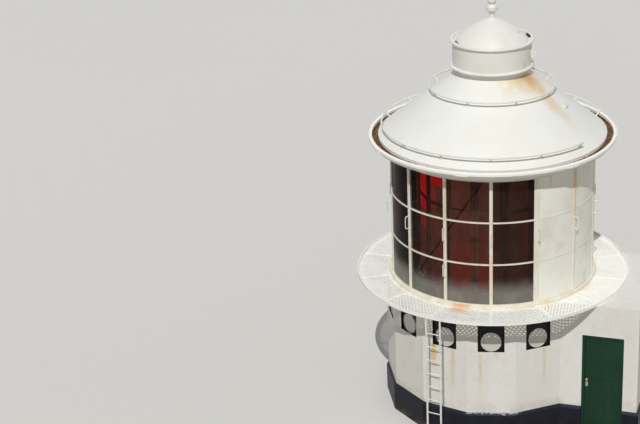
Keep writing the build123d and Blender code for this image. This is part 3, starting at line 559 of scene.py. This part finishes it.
def tone(red, green, blue):
    """A colour as a paint chart gives it, 0 to 255, turned into the light values that shaders use."""
    share = [value / 255 for value in (red, green, blue)]
    return tuple(s / 12.92 if s <= 0.04045 else ((s + 0.055) / 1.055) ** 2.4 for s in share) + (1,)


# %% [markdown]
# A finish knows where it is on the tower: its height, its distance from the axis and its direction round
# the axis. Rust that runs down under one niche can then be placed in words, such as "at 42 degrees, from
# 1.9 metres down". The texture noise is read in the object's own coordinates, so it stays on the paint.

# %% The recipe book
MIX_SHARE, MIX_UNDER, MIX_OVER, MIX_COLOUR = 0, 6, 7, 2  # the Mix node's sockets for colours
WANDER = 1.5  # how far a streak strays to the sides


class Finish:
    """One material, with short ways to add to its net."""

    def __init__(self, name):
        self.material = bpy.data.materials.new(name)
        self.material.use_nodes = True
        self.tree = self.material.node_tree
        self.tree.nodes.clear()
        self.place = self.node("TexCoord", {}, {}, "Object")
        self.across = self.node("SeparateXYZ", {}, {0: self.place}, 0)
        self.deep = self.node("SeparateXYZ", {}, {0: self.place}, 1)
        self.height = self.node("SeparateXYZ", {}, {0: self.place}, 2)
        self.radius = (self.across * self.across + self.deep * self.deep) ** 0.5
        turn = self.node("Math", {"operation": "ARCTAN2"}, {0: self.across, 1: self.deep * -1.0})
        self.turn = turn * math.degrees(1)  # 0 at the front, 90 on the right

    def node(self, kind, settings, values, output=0):
        """Adds any node: its settings first, then its values or links."""
        added = self.tree.nodes.new("ShaderNode" + kind)
        for key, value in settings.items():
            setattr(added, key, value)
        for key, value in values.items():
            if isinstance(value, Signal):
                self.tree.links.new(value.socket, added.inputs[key])
            else:
                added.inputs[key].default_value = value
        return Signal(self, added.outputs[output])

    def grain(self, scale, stretch=(1, 1, 1), detail=3.0, rough=0.55, shift=0.0):
        """Cloudy noise from about 0.3 to 0.7, so many lumps to the metre."""
        steps = {0: self.place, 1: stretch, 2: (shift, shift, shift)}
        moved = self.node("VectorMath", {"operation": "MULTIPLY_ADD"}, steps)
        look = {"Vector": moved, "Scale": scale, "Detail": detail, "Roughness": rough}
        return self.node("TexNoise", {}, look)

    def blend(self, share, under, over):
        """One colour over another."""
        colours = {MIX_SHARE: share, MIX_UNDER: under, MIX_OVER: over}
        return self.node("Mix", {"data_type": "RGBA"}, colours, MIX_COLOUR)

    def run(self, turn, width, top, bottom):
        """A streak down a round wall, at a direction in degrees, fading from top to bottom."""
        drift = (self.grain(2.5, (1, 1, 0.5), 2.0, shift=turn) - 0.5) * WANDER
        beside = ((self.turn - turn + drift).size() / width).fade(1.0, 0.15)
        return beside * self.height.fade(bottom, top) * self.height.fade(top + 0.02, top - 0.03)

    def surface(self, colour, roughness, bump=None, depth=0.001, **constants):
        """The shader at the end of the net, with the depth of its relief in metres."""
        values = {"Base Color": colour, "Roughness": roughness}
        values.update({key.replace("_", " "): value for key, value in constants.items()})
        if bump is not None:
            relief = {"Height": bump, "Strength": 1.0, "Distance": depth}
            values["Normal"] = self.node("Bump", {}, relief)
        shader = self.node("BsdfPrincipled", {}, values)
        end = self.tree.nodes.new("ShaderNodeOutputMaterial")
        self.tree.links.new(shader.socket, end.inputs["Surface"])
        return self.material


WHITE = tone(233, 234, 228)
WARM_WHITE = tone(229, 226, 213)
GREY_DIRT = tone(180, 178, 168)
RUST_STAIN = tone(208, 160, 96)
RUST = tone(142, 78, 36)

# %% [markdown]
# ## White paint on metal
# Most of the lantern is metal under many coats of white gloss. Coats put on by brush leave long soft
# ridges, salt and rain leave grey in the hollows, and rust comes through first as specks. One recipe
# serves all of these parts, with more or less dirt, so that they still look like one paint job.

# %% Painted metal
def painted_metal(name, paint=WHITE, dirt=0.25, specks=0.66, runs=(), roughness=0.42, slot_shadows=()):
    """A run has a direction, width, top, bottom and strength. A slot shadow is painted shade, black where
    the shadow in a slot falls, and has a direction, half a width, an inner radius, an outer radius and a
    top."""
    finish = Finish(name)
    cloud = finish.grain(1.7, detail=4.0)
    fine = finish.grain(38.0, detail=3.0, shift=4.0)
    brushed = finish.grain(9.0, (1, 1, 4), 2.0, shift=9.0)
    colour = finish.blend(cloud.fade(0.42, 0.72) * 0.5, paint, WARM_WHITE)
    colour = finish.blend((cloud * 0.6 + fine * 0.4).fade(0.5, 0.66) * dirt, colour, GREY_DIRT)
    for turn, width, top, bottom, share in runs:
        colour = finish.blend(finish.run(turn, width, top, bottom) * share, colour, RUST_STAIN)
    spot = (finish.grain(22.0, detail=5.0, rough=0.7, shift=2.0)).fade(specks, specks + 0.05)
    colour = finish.blend(spot * 0.75, colour, RUST)
    # Painted shade: the shadow inside a slot under the lip is painted near black.
    for turn, half, inner, outer, top in slot_shadows:
        slot_shadow = finish.radius.fade(inner - 0.004, inner) * finish.radius.fade(outer + 0.002, outer)
        slot_shadow = slot_shadow * finish.height.fade(top, top - 0.015)
        slot_shadow = slot_shadow * (finish.turn - turn).size().fade(half + 2.0, half - 1.0)
        colour = finish.blend(slot_shadow, colour, tone(30, 26, 22))
    matt = roughness + (cloud - 0.5) * 0.25 + spot * 0.3
    relief = brushed * 0.5 + fine * 0.3 - spot * 0.8
    return finish.surface(colour, matt, relief, 0.0016)


plain_white = painted_metal("white_gloss")
rail_white = painted_metal("rail_white", dirt=0.3, specks=0.63, roughness=0.5)
rim_white = painted_metal("rim_white", tone(253, 254, 250), dirt=0.08, specks=0.69)
# The discs are white paint. Their grey is painted shade, for the shade under the walkway that they sit in.
disc_shade_grey = painted_metal("disc_grey_white", tone(203, 203, 197), dirt=0.35, specks=0.67)
# The ventilator's hood, with painted shade in the two slots that show black under its lip.
hood_white = painted_metal(
    "hood_white", tone(235, 235, 230), dirt=0.15, specks=0.70,
    runs=((84, 6, 7.80, 7.50, 0.4), (68, 5, 7.70, 7.50, 0.3)),
    slot_shadows=[(turn, 9, 0.738, 0.7965, 8.088) for turn in (-62, 122)],
)
DRIP = 5.78  # height at which water leaves the ring over the panes
PLATE_RUNS = (
    (38, 0.7, DRIP, 5.1, 0.5),
    (46, 1.0, DRIP, 5.35, 0.35),
    (64.6, 0.9, DRIP, 4.2, 0.7),
    (65.5, 0.6, 4.2, 3.1, 0.4),
    (91, 1.0, DRIP, 4.6, 0.5),
)
blank_white = painted_metal(
    "blank_plate_white", tone(246, 245, 236), dirt=0.2, specks=0.71, runs=PLATE_RUNS
)
print("painted metal finishes made")

# %% [markdown]
# ## Cream paint along the glazing
# The bars and the curb have been touched up with a creamier paint, thick and lumpy where it was run over
# old putty. The cream shows in patches, and small flakes are missing at the edges.

# %% Bars and curb
def putty_paint(name, runs, cream_share=0.5):
    """Cream over white, with runs as for the metal."""
    finish = Finish(name)
    patch = finish.grain(3.2, (1, 1, 0.6), 4.0, shift=1.0)
    lump = finish.grain(26.0, detail=4.0, rough=0.6, shift=3.0)
    fleck = finish.grain(44.0, detail=4.0, rough=0.65, shift=7.0)
    cream = patch.fade(0.44, 0.62) * cream_share
    colour = finish.blend(cream, tone(236, 234, 224), tone(229, 219, 193))
    colour = finish.blend((lump * patch * 2.0).fade(0.55, 0.85) * 0.25, colour, tone(206, 192, 152))
    for turn, width, top, bottom, share in runs:
        colour = finish.blend(finish.run(turn, width, top, bottom) * share, colour, tone(224, 162, 70))
    missing = fleck.fade(0.66, 0.70)
    colour = finish.blend(missing * 0.45, colour, tone(160, 134, 100))
    return finish.surface(colour, 0.5 + (lump - 0.5) * 0.3, lump - missing * 0.6, 0.003)


BAR_RUNS = ((12.86, 3, 4.2, 3.05, 0.25), (-12.86, 3, 5.7, 3.6, 0.35), (64.3, 3, DRIP, 3.8, 0.5))
bar_paint = putty_paint("bar_putty_paint", BAR_RUNS)
CURB_MARKS = ((-4, 8, 1.0), (42, 5, 0.45), (61, 5, 0.25), (-40, 5, 0.3), (130, 6, 0.6), (205, 6, 0.6))
RUN_TOP, RUN_FOOT = 3.10, 2.93  # above the curb's upper edge and below its lower one
CURB_RUNS = [(turn, width, RUN_TOP, RUN_FOOT, share) for turn, width, share in CURB_MARKS]
curb_paint = putty_paint("curb_paint", CURB_RUNS, cream_share=0.7)
print("cream finishes made")

# %% [markdown]
# ## The painted wall
# The base is masonry with a smooth render, painted white by roller. Rain washes it in tall faint bands,
# and iron in the niches and ladder fixings leaves orange runs. Stretching the noise upright gives the
# bands, and each run is placed where water leaves the metal.

# %% Wall paint
WALL_RUNS = (
    (-8.0, 2.0, 2.03, 0.70, 0.50),
    (7.2, 1.6, 1.98, 0.65, 0.48),
    (42.4, 1.8, 2.03, 0.75, 0.42),
    (15.5, 2.4, 2.04, 1.86, 0.3),
    (-19.5, 2.8, 2.05, 1.30, 0.95),
    (-72, 2.0, 2.03, 1.0, 0.4),
    (105, 2.2, 2.03, 0.9, 0.4),
    (141, 1.6, 2.03, 1.1, 0.4),
    (-150, 2.2, 2.03, 0.8, 0.4),
    (-118, 1.5, 2.0, 0.9, 0.4),
)


def wall_paint(name, runs):
    """White render, with runs as for the metal."""
    finish = Finish(name)
    wash = finish.grain(1.6, (1, 1, 0.14), 3.0)
    band = finish.grain(7.0, (1, 1, 0.1), 3.0, shift=5.0)
    cloud = finish.grain(3.4, detail=5.0, shift=8.0)
    stipple = finish.grain(110.0, detail=2.0, shift=3.0)
    colour = finish.blend(wash.fade(0.4, 0.62) * 0.6, tone(233, 232, 229), tone(228, 224, 217))
    colour = finish.blend(band.fade(0.55, 0.75) * 0.16, colour, tone(210, 204, 189))
    colour = finish.blend(cloud.fade(0.52, 0.72) * 0.28, colour, tone(212, 209, 199))
    splash = finish.height.fade(0.95, 0.62) * cloud.fade(0.4, 0.6)
    colour = finish.blend(splash * 0.3, colour, tone(186, 176, 156))
    for turn, width, top, bottom, share in runs:
        broken = finish.grain(9.0, (1, 1, 0.3), 3.0, shift=turn).fade(0.25, 0.55)
        stain = finish.run(turn, width, top, bottom) * broken * share
        colour = finish.blend(stain, colour, tone(214, 172, 88))
    crack = (finish.grain(5.0, detail=6.0, rough=0.7, shift=11.0) - 0.5).size().fade(0.006, 0.0)
    colour = finish.blend(crack * 0.25, colour, tone(150, 146, 136))
    matt = 0.62 + (cloud - 0.5) * 0.2
    relief = stipple * 0.5 + cloud * 1.5 - crack * 0.5
    return finish.surface(colour, matt, relief, 0.0022)


tower_wall = wall_paint("tower_wall_paint", WALL_RUNS)
entry_wall = wall_paint("entry_wall_paint", ((20, 0.6, 2.6, 1.0, 0.2),))
print("wall runs:", len(WALL_RUNS))

# %% [markdown]
# ## The dark plinth
# The foot of the wall is painted a very dark navy. Along its top edge at the front the paint has flaked
# and the white under it shows as a broken line. The flakes follow the height, made ragged by noise. The
# same blocks show inside the rooms, and there limewash takes the place of the navy: inside the radius
# of the round room, and within the walls of the entry.

# %% Plinth paint
floor_low, floor_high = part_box("base_floor")
entry_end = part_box("entry_walls")[HIGH].x
entry_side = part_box("entry_walls")[HIGH].y
entry_wall_thick = entry_end - floor_high.x
round_inside = entry_wall_thick / 2 - floor_low.x
room_end = entry_end - entry_wall_thick
room_side = entry_side - entry_wall_thick


def plinth_paint():
    finish = Finish("plinth_navy")
    cloud = finish.grain(4.0, detail=4.0)
    rag = finish.grain(16.0, detail=5.0, rough=0.7, shift=3.0)
    colour = finish.blend(cloud.fade(0.4, 0.66), tone(16, 18, 26), tone(24, 27, 38))
    colour = finish.blend(finish.height.fade(0.35, 0.6) * 0.35, colour, tone(20, 24, 40))
    edge = (finish.height + (rag - 0.5) * 0.14).fade(0.596, 0.608)
    front = (finish.turn - 14.0 + (cloud - 0.5) * 14).size().fade(16.0, 11.0)
    flaked = edge * front * rag.fade(0.40, 0.52)
    chips = rag.fade(0.66, 0.69) * finish.height.fade(0.3, 0.62)
    colour = finish.blend((flaked + chips * 0.25).lesser(1.0) * 0.8, colour, tone(176, 178, 186))
    dust = finish.height.fade(0.22, 0.0) * cloud.fade(0.4, 0.6)
    colour = finish.blend(dust * 0.35, colour, tone(128, 116, 98))
    room = finish.radius.fade(round_inside + 0.02, round_inside)
    entry = finish.across.fade(room_end + 0.03, room_end + 0.01) * finish.across.fade(1.0, 1.2)
    entry = entry * finish.deep.size().fade(room_side + 0.03, room_side + 0.01)
    limewash = finish.blend(cloud.fade(0.4, 0.66), tone(206, 202, 192), tone(190, 184, 170))
    colour = finish.blend(room.greater(entry), colour, limewash)
    matt = 0.5 + (cloud - 0.5) * 0.3
    relief = cloud * 0.6 - flaked * 0.5
    return finish.surface(colour, matt, relief, 0.003, Specular_IOR_Level=0.2)


plinth_navy = plinth_paint()
print("limewash inside", round(round_inside, 2), "m of the axis")

# %% [markdown]
# ## The roof
# The cone is white and smooth, and its one big mark is rust that has leaked from under the ventilator
# and run down on the right. The stain is widest at the neck and narrows to a tail lower down, so its
# width is made to depend on the distance from the axis.

# %% Roof paint
def roof_paint():
    finish = Finish("roof_white")
    cloud = finish.grain(1.0, detail=2.0)
    fine = finish.grain(30.0, detail=2.0, shift=6.0)
    wash = finish.grain(4.0, detail=3.0, shift=2.0)
    colour = finish.blend(cloud.fade(0.42, 0.68) * 0.6, tone(239, 240, 236), tone(235, 234, 226))
    near_neck = finish.radius.fade(1.25, 0.80)
    pale = near_neck * (finish.turn - 62).size().fade(62.0, 18.0) * wash.fade(0.3, 0.6)
    colour = finish.blend(pale * 0.6, colour, tone(228, 206, 160))
    apart = (finish.turn - 75.0 + (wash - 0.5) * 10.0).size()
    reach = finish.radius.fade(1.25, 0.8) * 24.0 + finish.radius.fade(2.2, 0.9) * 9.0 + 4.0
    leak = (apart / reach).fade(1.1, 0.2) * finish.radius.fade(2.1, 1.1)
    colour = finish.blend(leak * (wash * 0.6 + 0.4) * 0.8, colour, tone(222, 178, 106))
    core = (apart / (reach * 0.5)).fade(1.1, 0.2) * finish.radius.fade(1.12, 0.80)
    colour = finish.blend(core * 0.5, colour, tone(186, 132, 66))
    matt = 0.48 + (cloud - 0.5) * 0.25
    return finish.surface(colour, matt, wash * 0.5 + fine * 0.3, 0.0015)


roof_white = roof_paint()

# %% [markdown]
# ## The gutter
# Outside it is white like the roof. Inside the trough wet dirt and rust have turned it brown, nearly
# black in the corner. The trough is found by its place: inside the lip and below its top.

# %% Gutter paint and its stained trough
LIP_WIDTH = 0.069
TROUGH_INNER = 2.345  # radius from which the trough is stained
STAIN_DEPTHS = (0.060, 0.078)  # under the top of the lip, where the stain starts and is full
gutter_low, gutter_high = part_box("gutter")


def gutter_paint():
    finish = Finish("gutter_white_and_rust")
    cloud = finish.grain(2.2, detail=4.0)
    silt = finish.grain(13.0, detail=5.0, rough=0.65, shift=5.0)
    colour = finish.blend(cloud.fade(0.42, 0.7) * 0.5, tone(253, 254, 250), tone(247, 245, 236))
    spot = finish.grain(20.0, detail=5.0, rough=0.7, shift=1.0).fade(0.67, 0.71)
    colour = finish.blend(spot * 0.6, colour, RUST)
    lip = gutter_high.y - LIP_WIDTH
    starts, full = [gutter_high.z - depth for depth in STAIN_DEPTHS]
    sunk = (finish.height + (silt - 0.5) * 0.05).fade(starts, full)
    inside = finish.radius.fade(lip + 0.006, lip - 0.004) * sunk
    upward = finish.node("SeparateXYZ", {}, {0: finish.node("TexCoord", {}, {}, "Normal")}, 2)
    inside = inside * finish.radius.fade(TROUGH_INNER, TROUGH_INNER + 0.015) * upward.fade(-0.15, -0.05)
    mud = finish.blend(silt.fade(0.38, 0.62), tone(46, 34, 26), tone(150, 102, 56))
    dry = finish.height.fade(gutter_high.z - 0.11, gutter_high.z - 0.05)
    mud = finish.blend(dry * 0.35, mud, tone(176, 132, 80))
    colour = finish.blend(inside, colour, mud)
    under = finish.height.fade(gutter_low.z + 0.03, gutter_low.z) * cloud.fade(0.35, 0.6)
    colour = finish.blend(under * 0.4, colour, tone(186, 178, 154))
    return finish.surface(colour, 0.5 + inside * 0.3, cloud + silt * inside * 3.0, 0.003)


gutter_finish = gutter_paint()
print("gutter stained below", round(gutter_high.z - STAIN_DEPTHS[0], 2), "m")

# %% [markdown]
# ## Glass, clear and red
# A lantern pane reads dark from outside, because little light comes back from inside. Here the pane is
# a dark film. It covers about a third of what stands behind it at the front and nearly all of it at the
# sides, where it carries a painted reflection of dark surroundings, and salt clouds its foot. Behind it
# stand panes of red glass, with painted light: they all glow a little by emission, and a few at the
# upper left glow bright red with painted daylight from the far side.

# %% Panes
# Painted daylight: where it falls, the red panes get a bright red base colour and a bright emission.
PAINTED_DAYLIGHT = (  # direction and half the width in degrees, bottom, top and strength
    (-56.0, 12.0, 4.53, 5.70, 1.0),
    (-33.5, 11.5, 5.25, 5.70, 1.0),
    (-40.5, 4.5, 4.72, 5.25, 0.5),
    (-56.0, 9.0, 4.12, 4.36, 0.35),
    (124.0, 12.0, 4.53, 5.70, 0.8),
    (146.5, 11.5, 5.25, 5.70, 0.8),
)


def lantern_glass():
    """The outer panes, a dark film of varying cover, with a painted reflection at the sides."""
    finish = Finish("lantern_glass")
    salt = finish.grain(5.0, (1, 1, 0.4), 4.0, shift=2.0)
    tall = finish.grain(7.0, (1, 1, 0.12), 2.0, shift=6.0)
    low = (finish.height + (salt - 0.5) * 0.3).fade(3.68, 3.28)
    side_reflection = finish.turn.size().fade(37.0, 42.0)
    colour = finish.blend(salt.fade(0.4, 0.7) * 0.4, tone(36, 29, 26), tone(70, 60, 53))
    # Painted reflection: at the sides the film is navy and dark red in tall streaks, and dark brown low
    # down.
    deep = finish.blend(tall.fade(0.52, 0.58), tone(11, 10, 17), tone(74, 18, 24))
    deep = finish.blend(finish.height.fade(4.9, 4.1), deep, tone(34, 25, 23))
    colour = finish.blend(side_reflection, colour, deep)
    haze = finish.blend(salt.fade(0.35, 0.65), tone(142, 138, 130), tone(158, 154, 147))
    colour = finish.blend(low * 0.85, colour, haze)
    # The cover rises to nearly all at the sides, where the painted reflection hides what is behind.
    cover = 0.34 + salt.fade(0.45, 0.75) * 0.08 + finish.turn.fade(11.0, 15.0) * 0.22 + side_reflection * 0.54
    cover = cover.greater(low * 0.66).lesser(1.0)
    matt = 0.06 + salt * 0.08
    return finish.surface(colour, matt, Alpha=cover, IOR=1.18, Specular_IOR_Level=0.2)


def red_glass():
    """The red screen's panes, glowing by emission as painted light, bright where daylight is painted in.
    """
    finish = Finish("red_screen_glass")
    ripple = finish.grain(4.0, (1, 1, 0.5), 2.0)
    band = ripple.fade(0.35, 0.65)
    colour = finish.blend(band, tone(92, 30, 26), tone(128, 44, 38))
    painted_glow = 0.0
    for turn, half, bottom, top, share in PAINTED_DAYLIGHT:
        painted_daylit = (finish.turn - turn).size().fade(half, half - 1.0)
        painted_daylit = painted_daylit * finish.height.fade(bottom - 0.03, bottom + 0.05)
        painted_glow = painted_daylit * finish.height.fade(top + 0.04, top - 0.04) * share + painted_glow
    painted_glow = painted_glow.lesser(1.0)
    colour = finish.blend(painted_glow, colour, tone(206, 24, 32))
    dim_painted_glow = finish.blend(ripple.fade(0.4, 0.6), tone(84, 50, 39), tone(100, 54, 42))
    ruddy_painted_glow = (finish.turn + 8.0).size().fade(28.0, 12.0) * finish.height.fade(4.5, 3.6)
    dim_painted_glow = finish.blend(ruddy_painted_glow, dim_painted_glow, tone(112, 42, 36))
    shine = finish.blend(painted_glow, dim_painted_glow, tone(196, 18, 26))
    # Painted light: every red pane glows by emission, dimly except in the painted daylight.
    return finish.surface(
        colour, 0.14 + ripple * 0.1, ripple, 0.002,
        Emission_Color=shine, Emission_Strength=0.9, IOR=1.45, Specular_IOR_Level=0.2,
    )


clear_panes = lantern_glass()
red_panes = red_glass()
print("patches of daylight in the red screen:", len(PAINTED_DAYLIGHT))

# %% [markdown]
# ## The dark and small finishes
# What is left are the black niches, the iron of the red screen and the stay rod, the green door with
# its iron hinges and brass knobs, and the grey ledge, sill and floor. Each is a short recipe: a colour,
# a second colour where it is worn, and a grain.

# %% Dark metal, door, brass and stone
FINER = 9  # times as many lumps in the fine grain as in the cloud


def worn_paint(
    name, colour, worn, scale=6.0, share=0.5, roughness=0.5, metallic=0.0,
    stretch=(1, 1, 1), depth=0.0015, shine=0.5,
):
    finish = Finish(name)
    cloud = finish.grain(scale, stretch, 4.0)
    fine = finish.grain(scale * FINER, stretch, 3.0, shift=3.0)
    mixed = (cloud * 0.65 + fine * 0.35).fade(0.46, 0.64)
    shade = finish.blend(mixed * share, colour, worn)
    matt = roughness + (fine - 0.5) * 0.3
    relief = cloud + fine * 0.4
    return finish.surface(shade, matt, relief, depth, Metallic=metallic, Specular_IOR_Level=shine)


niche_black = worn_paint("niche_black", tone(14, 14, 17), tone(44, 43, 44), share=0.3, shine=0.2)
screen_iron = worn_paint("screen_iron", tone(172, 116, 92), tone(140, 92, 76), shine=0.2)
rod_iron = worn_paint("rod_iron", tone(30, 22, 20), tone(58, 40, 34), shine=0.2)
door_green = worn_paint(
    "door_green", tone(12, 50, 32), tone(28, 68, 46),
    scale=3.0, stretch=(1, 1, 0.25), roughness=0.4, shine=0.25,
)
hinge_iron = worn_paint("hinge_iron", tone(88, 90, 92), tone(128, 92, 62), scale=18.0, metallic=0.7)
knob_brass = worn_paint(
    "knob_brass", tone(196, 184, 152), tone(146, 130, 98), scale=24.0, roughness=0.38, metallic=0.85
)
ledge_grey = worn_paint(
    "ledge_grey", tone(178, 175, 168), tone(140, 134, 126), scale=4.0, roughness=0.55
)
sill_stone = worn_paint(
    "sill_stone", tone(176, 170, 158), tone(128, 120, 106), scale=9.0, roughness=0.8, depth=0.004
)
floor_stone = worn_paint(
    "floor_stone", tone(158, 152, 142), tone(118, 110, 100), scale=5.0, roughness=0.85, depth=0.004
)
print("small finishes made")

# %% [markdown]
# ## The deck paint
# Boots and salt wear the walkway to a dull white. Near the curb rust has bled over the sheets in a few
# places, where the bars drip.

# %% Deck paint
DRIPS = (  # direction and width in degrees, and strength
    (-4.0, 9.0, 0.9),
    (41.5, 5.0, 0.35),
    (62.0, 6.0, 0.2),
    (128.0, 8.0, 0.4),
    (-155.0, 8.0, 0.4),
    (-100.0, 6.0, 0.3),
)


def deck_paint():
    finish = Finish("deck_paint")
    cloud = finish.grain(2.4, detail=4.0)
    fine = finish.grain(34.0, detail=3.0, shift=3.0)
    colour = finish.blend(cloud.fade(0.4, 0.68) * 0.7, tone(253, 254, 250), tone(247, 246, 239))
    scuff = (cloud * 0.5 + fine * 0.5).fade(0.54, 0.68) * 0.15
    colour = finish.blend(scuff, colour, tone(214, 213, 206))
    near = finish.radius.fade(2.62, 2.2)
    for turn, width, share in DRIPS:
        apart = (finish.turn - turn + (cloud - 0.5) * 14).size()
        patch = apart.fade(width, width * 0.25) * near ** 2.0
        colour = finish.blend(patch * fine.fade(0.30, 0.52) * share, colour, tone(226, 166, 74))
    cream = finish.radius.fade(2.30, 2.2) * cloud.fade(0.35, 0.55)
    colour = finish.blend(cream * 0.5, colour, tone(232, 218, 182))
    return finish.surface(colour, 0.55 + (cloud - 0.5) * 0.2, fine, 0.0012)


deck_white = deck_paint()
print("rust marks on the deck:", len(DRIPS))

# %% [markdown]
# ## Put the finishes on
# A solid from the model keeps its shape and only gets a finish in its material slot. One list says which
# parts wear a finish, so a missing part is noticed at once.

# %% Which part wears what
FINISHES = (
    (plinth_navy, "plinth_blocks"),
    (tower_wall, "base_walls"),
    (entry_wall, "entry_walls entry_roof"),
    (floor_stone, "base_floor"),
    (niche_black, "vent_niches"),
    (disc_shade_grey, "vent_discs"),
    (sill_stone, "door_sill"),
    (door_green, "door_frame door_leaf"),
    (knob_brass, "door_knobs"),
    (hinge_iron, "door_hinges hinge_posts"),
    (curb_paint, "curb_ring"),
    (deck_white, "walkway_plates walkway_strips"),
    (rim_white, "walkway_rim gutter_straps"),
    (plain_white, "walkway_brackets finial earth_strap roof_fixings"),
    (ledge_grey, "inner_ledge ledge_ribs"),
    (screen_iron, "screen_frames"),
    (red_panes, "screen_panes"),
    (bar_paint, "astragals glazing_bars"),
    (clear_panes, "glass_lower glass_middle glass_upper"),
    (blank_white, "blank_panels head_ring soffit"),
    (rail_white, "grab_handles rail_posts roof_rails ladder_stringers ladder_rungs"),
    (gutter_finish, "gutter"),
    (roof_white, "roof_sheets"),
    (hood_white, "vent_drum vent_lip vent_dome"),
)
WEARS = {node: finish for finish, nodes in FINISHES for node in nodes.split()}
PIECES_WEAR = {
    "walkway_sheet": deck_white,
    "curb_caulking": curb_paint,
    "bar_screws": bar_paint,
    "cover_strip": bar_paint,
    "stay_rod": rod_iron,
    "door_lock_plate": knob_brass,
}


def dress(piece, material):
    piece.data.materials.clear()
    piece.data.materials.append(material)


for node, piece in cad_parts.items():
    dress(piece, WEARS[node])
for name, triangles in made:
    kind = next(key for key in PIECES_WEAR if name.startswith(key))
    dress(bpy.data.objects[name], PIECES_WEAR[kind])
print("added pieces:", len(made), "with", sum(count for name, count in made), "triangles")

# %% [markdown]
# ## The studio
# The studio floor and sky look pale and plain. The light that they throw on the building is another
# matter: the floor gives back what a mid grey ground would, and the sky is dim, or else the shade under
# the walkway would fill up. A light path node tells the two apart. One small sharp lamp, high in front
# and a little to the right, gives that shade and the dots that the holes let through.

# %% Floor
FLOOR_SIZE = 600
clear_selection()
bpy.ops.mesh.primitive_plane_add(size=FLOOR_SIZE, location=(0, 0, 0))
floor = new_piece("studio_floor")
floor_finish = Finish("studio_floor")
floor_cloud = floor_finish.grain(0.05)
floor_seen = floor_finish.node("LightPath", {}, {}, "Is Camera Ray")
for ray in ("Is Glossy Ray", "Is Transmission Ray"):
    floor_seen = floor_seen.greater(floor_finish.node("LightPath", {}, {}, ray))
seen_colour = floor_finish.blend(floor_cloud, tone(221, 220, 217), tone(225, 224, 221))
thrown_colour = tone(162, 157, 147)
floor_colour = floor_finish.blend(floor_seen, thrown_colour, seen_colour)
dress(floor, floor_finish.surface(floor_colour, 0.9))
print("floor:", FLOOR_SIZE, "m wide")

# %% Sky
LIGHT_SIDE = ((0.97, 0.985, 1.0, 1), 0.31)  # the sky's colour and strength as light
SEEN_SIDE = ((1, 1, 1, 1), 1.0)  # and as it is seen
world = bpy.data.worlds.new("studio_sky")
bpy.context.scene.world = world
world.use_nodes = True
sky = world.node_tree
sky.nodes.clear()
path = sky.nodes.new("ShaderNodeLightPath")
sky_seen = path.outputs["Is Camera Ray"]
for ray in ("Is Glossy Ray", "Is Transmission Ray"):
    greater = sky.nodes.new("ShaderNodeMath")
    greater.operation = "MAXIMUM"
    sky.links.new(sky_seen, greater.inputs[0])
    sky.links.new(path.outputs[ray], greater.inputs[1])
    sky_seen = greater.outputs[0]
either = sky.nodes.new("ShaderNodeMixShader")
sky.links.new(sky_seen, either.inputs[0])
for number, (colour, strength) in enumerate((LIGHT_SIDE, SEEN_SIDE), start=1):
    side = sky.nodes.new("ShaderNodeBackground")
    side.inputs["Color"].default_value = colour
    side.inputs["Strength"].default_value = strength
    sky.links.new(side.outputs[0], either.inputs[number])
sky_end = sky.nodes.new("ShaderNodeOutputWorld")
sky.links.new(either.outputs[0], sky_end.inputs["Surface"])
print("sky nodes:", len(sky.nodes))

# %% Lamp
LAMP_TURN, LAMP_UP = math.radians(10.7), math.radians(47.5)
LAMP_AWAY = 30
LAMP_STRENGTH = 2.30
LAMP_SIZE = math.radians(0.25)  # small, for dots with clear edges
lamp_level = Vector((math.sin(LAMP_TURN), -math.cos(LAMP_TURN), 0))
toward_lamp = lamp_level * math.cos(LAMP_UP) + Vector((0, 0, math.sin(LAMP_UP)))
bpy.ops.object.light_add(type="SUN", location=toward_lamp * LAMP_AWAY)
lamp = bpy.context.object
lamp.name = "studio_lamp"
lamp.rotation_mode = "QUATERNION"
lamp.rotation_quaternion = toward_lamp.to_track_quat("Z", "Y")
lamp.data.energy = LAMP_STRENGTH
lamp.data.angle = LAMP_SIZE
lamp.data.color = (1.0, 0.985, 0.955)
print("lamp towards", [round(value, 2) for value in toward_lamp])

# %% [markdown]
# ## The camera
# The photograph was taken from higher ground, looking down on the roof with a long lens. The camera's
# place and lens were worked out from the rings of the lantern, which are true circles in the real thing.

# %% Place the camera
LENS_PIXELS = 1668.3  # from the lens to the picture, in pixels
IMAGE_WIDE = 640  # pixels
SENSOR_WIDE = 36  # millimetres
CAMERA_REACH = 900  # to the farthest thing that it shows
camera_data = bpy.data.cameras.new("camera")
camera = bpy.data.objects.new("camera", camera_data)
bpy.context.scene.collection.objects.link(camera)
camera_data.sensor_width = SENSOR_WIDE
camera_data.lens = LENS_PIXELS / IMAGE_WIDE * SENSOR_WIDE
camera_data.clip_end = CAMERA_REACH
heading, dip, lean = math.radians(-19.70), math.radians(22.47), math.radians(-2.46)
ahead = Vector((math.sin(heading), math.cos(heading), 0))
forward = ahead * math.cos(dip) - Vector((0, 0, math.sin(dip)))
level = Vector((math.cos(heading), -math.sin(heading), 0))
upward = level.cross(forward)
right = level * math.cos(lean) + upward * math.sin(lean)
top = upward * math.cos(lean) - level * math.sin(lean)
stand = Vector((7.604, -32.09, 17.96))
facing = Matrix((right, top, -forward)).transposed().to_4x4()
camera.matrix_world = Matrix.Translation(stand) @ facing
bpy.context.scene.camera = camera
bpy.context.scene.view_settings.view_transform = "Standard"
print("camera", [round(value, 2) for value in stand], "lens", round(camera_data.lens, 1), "mm")
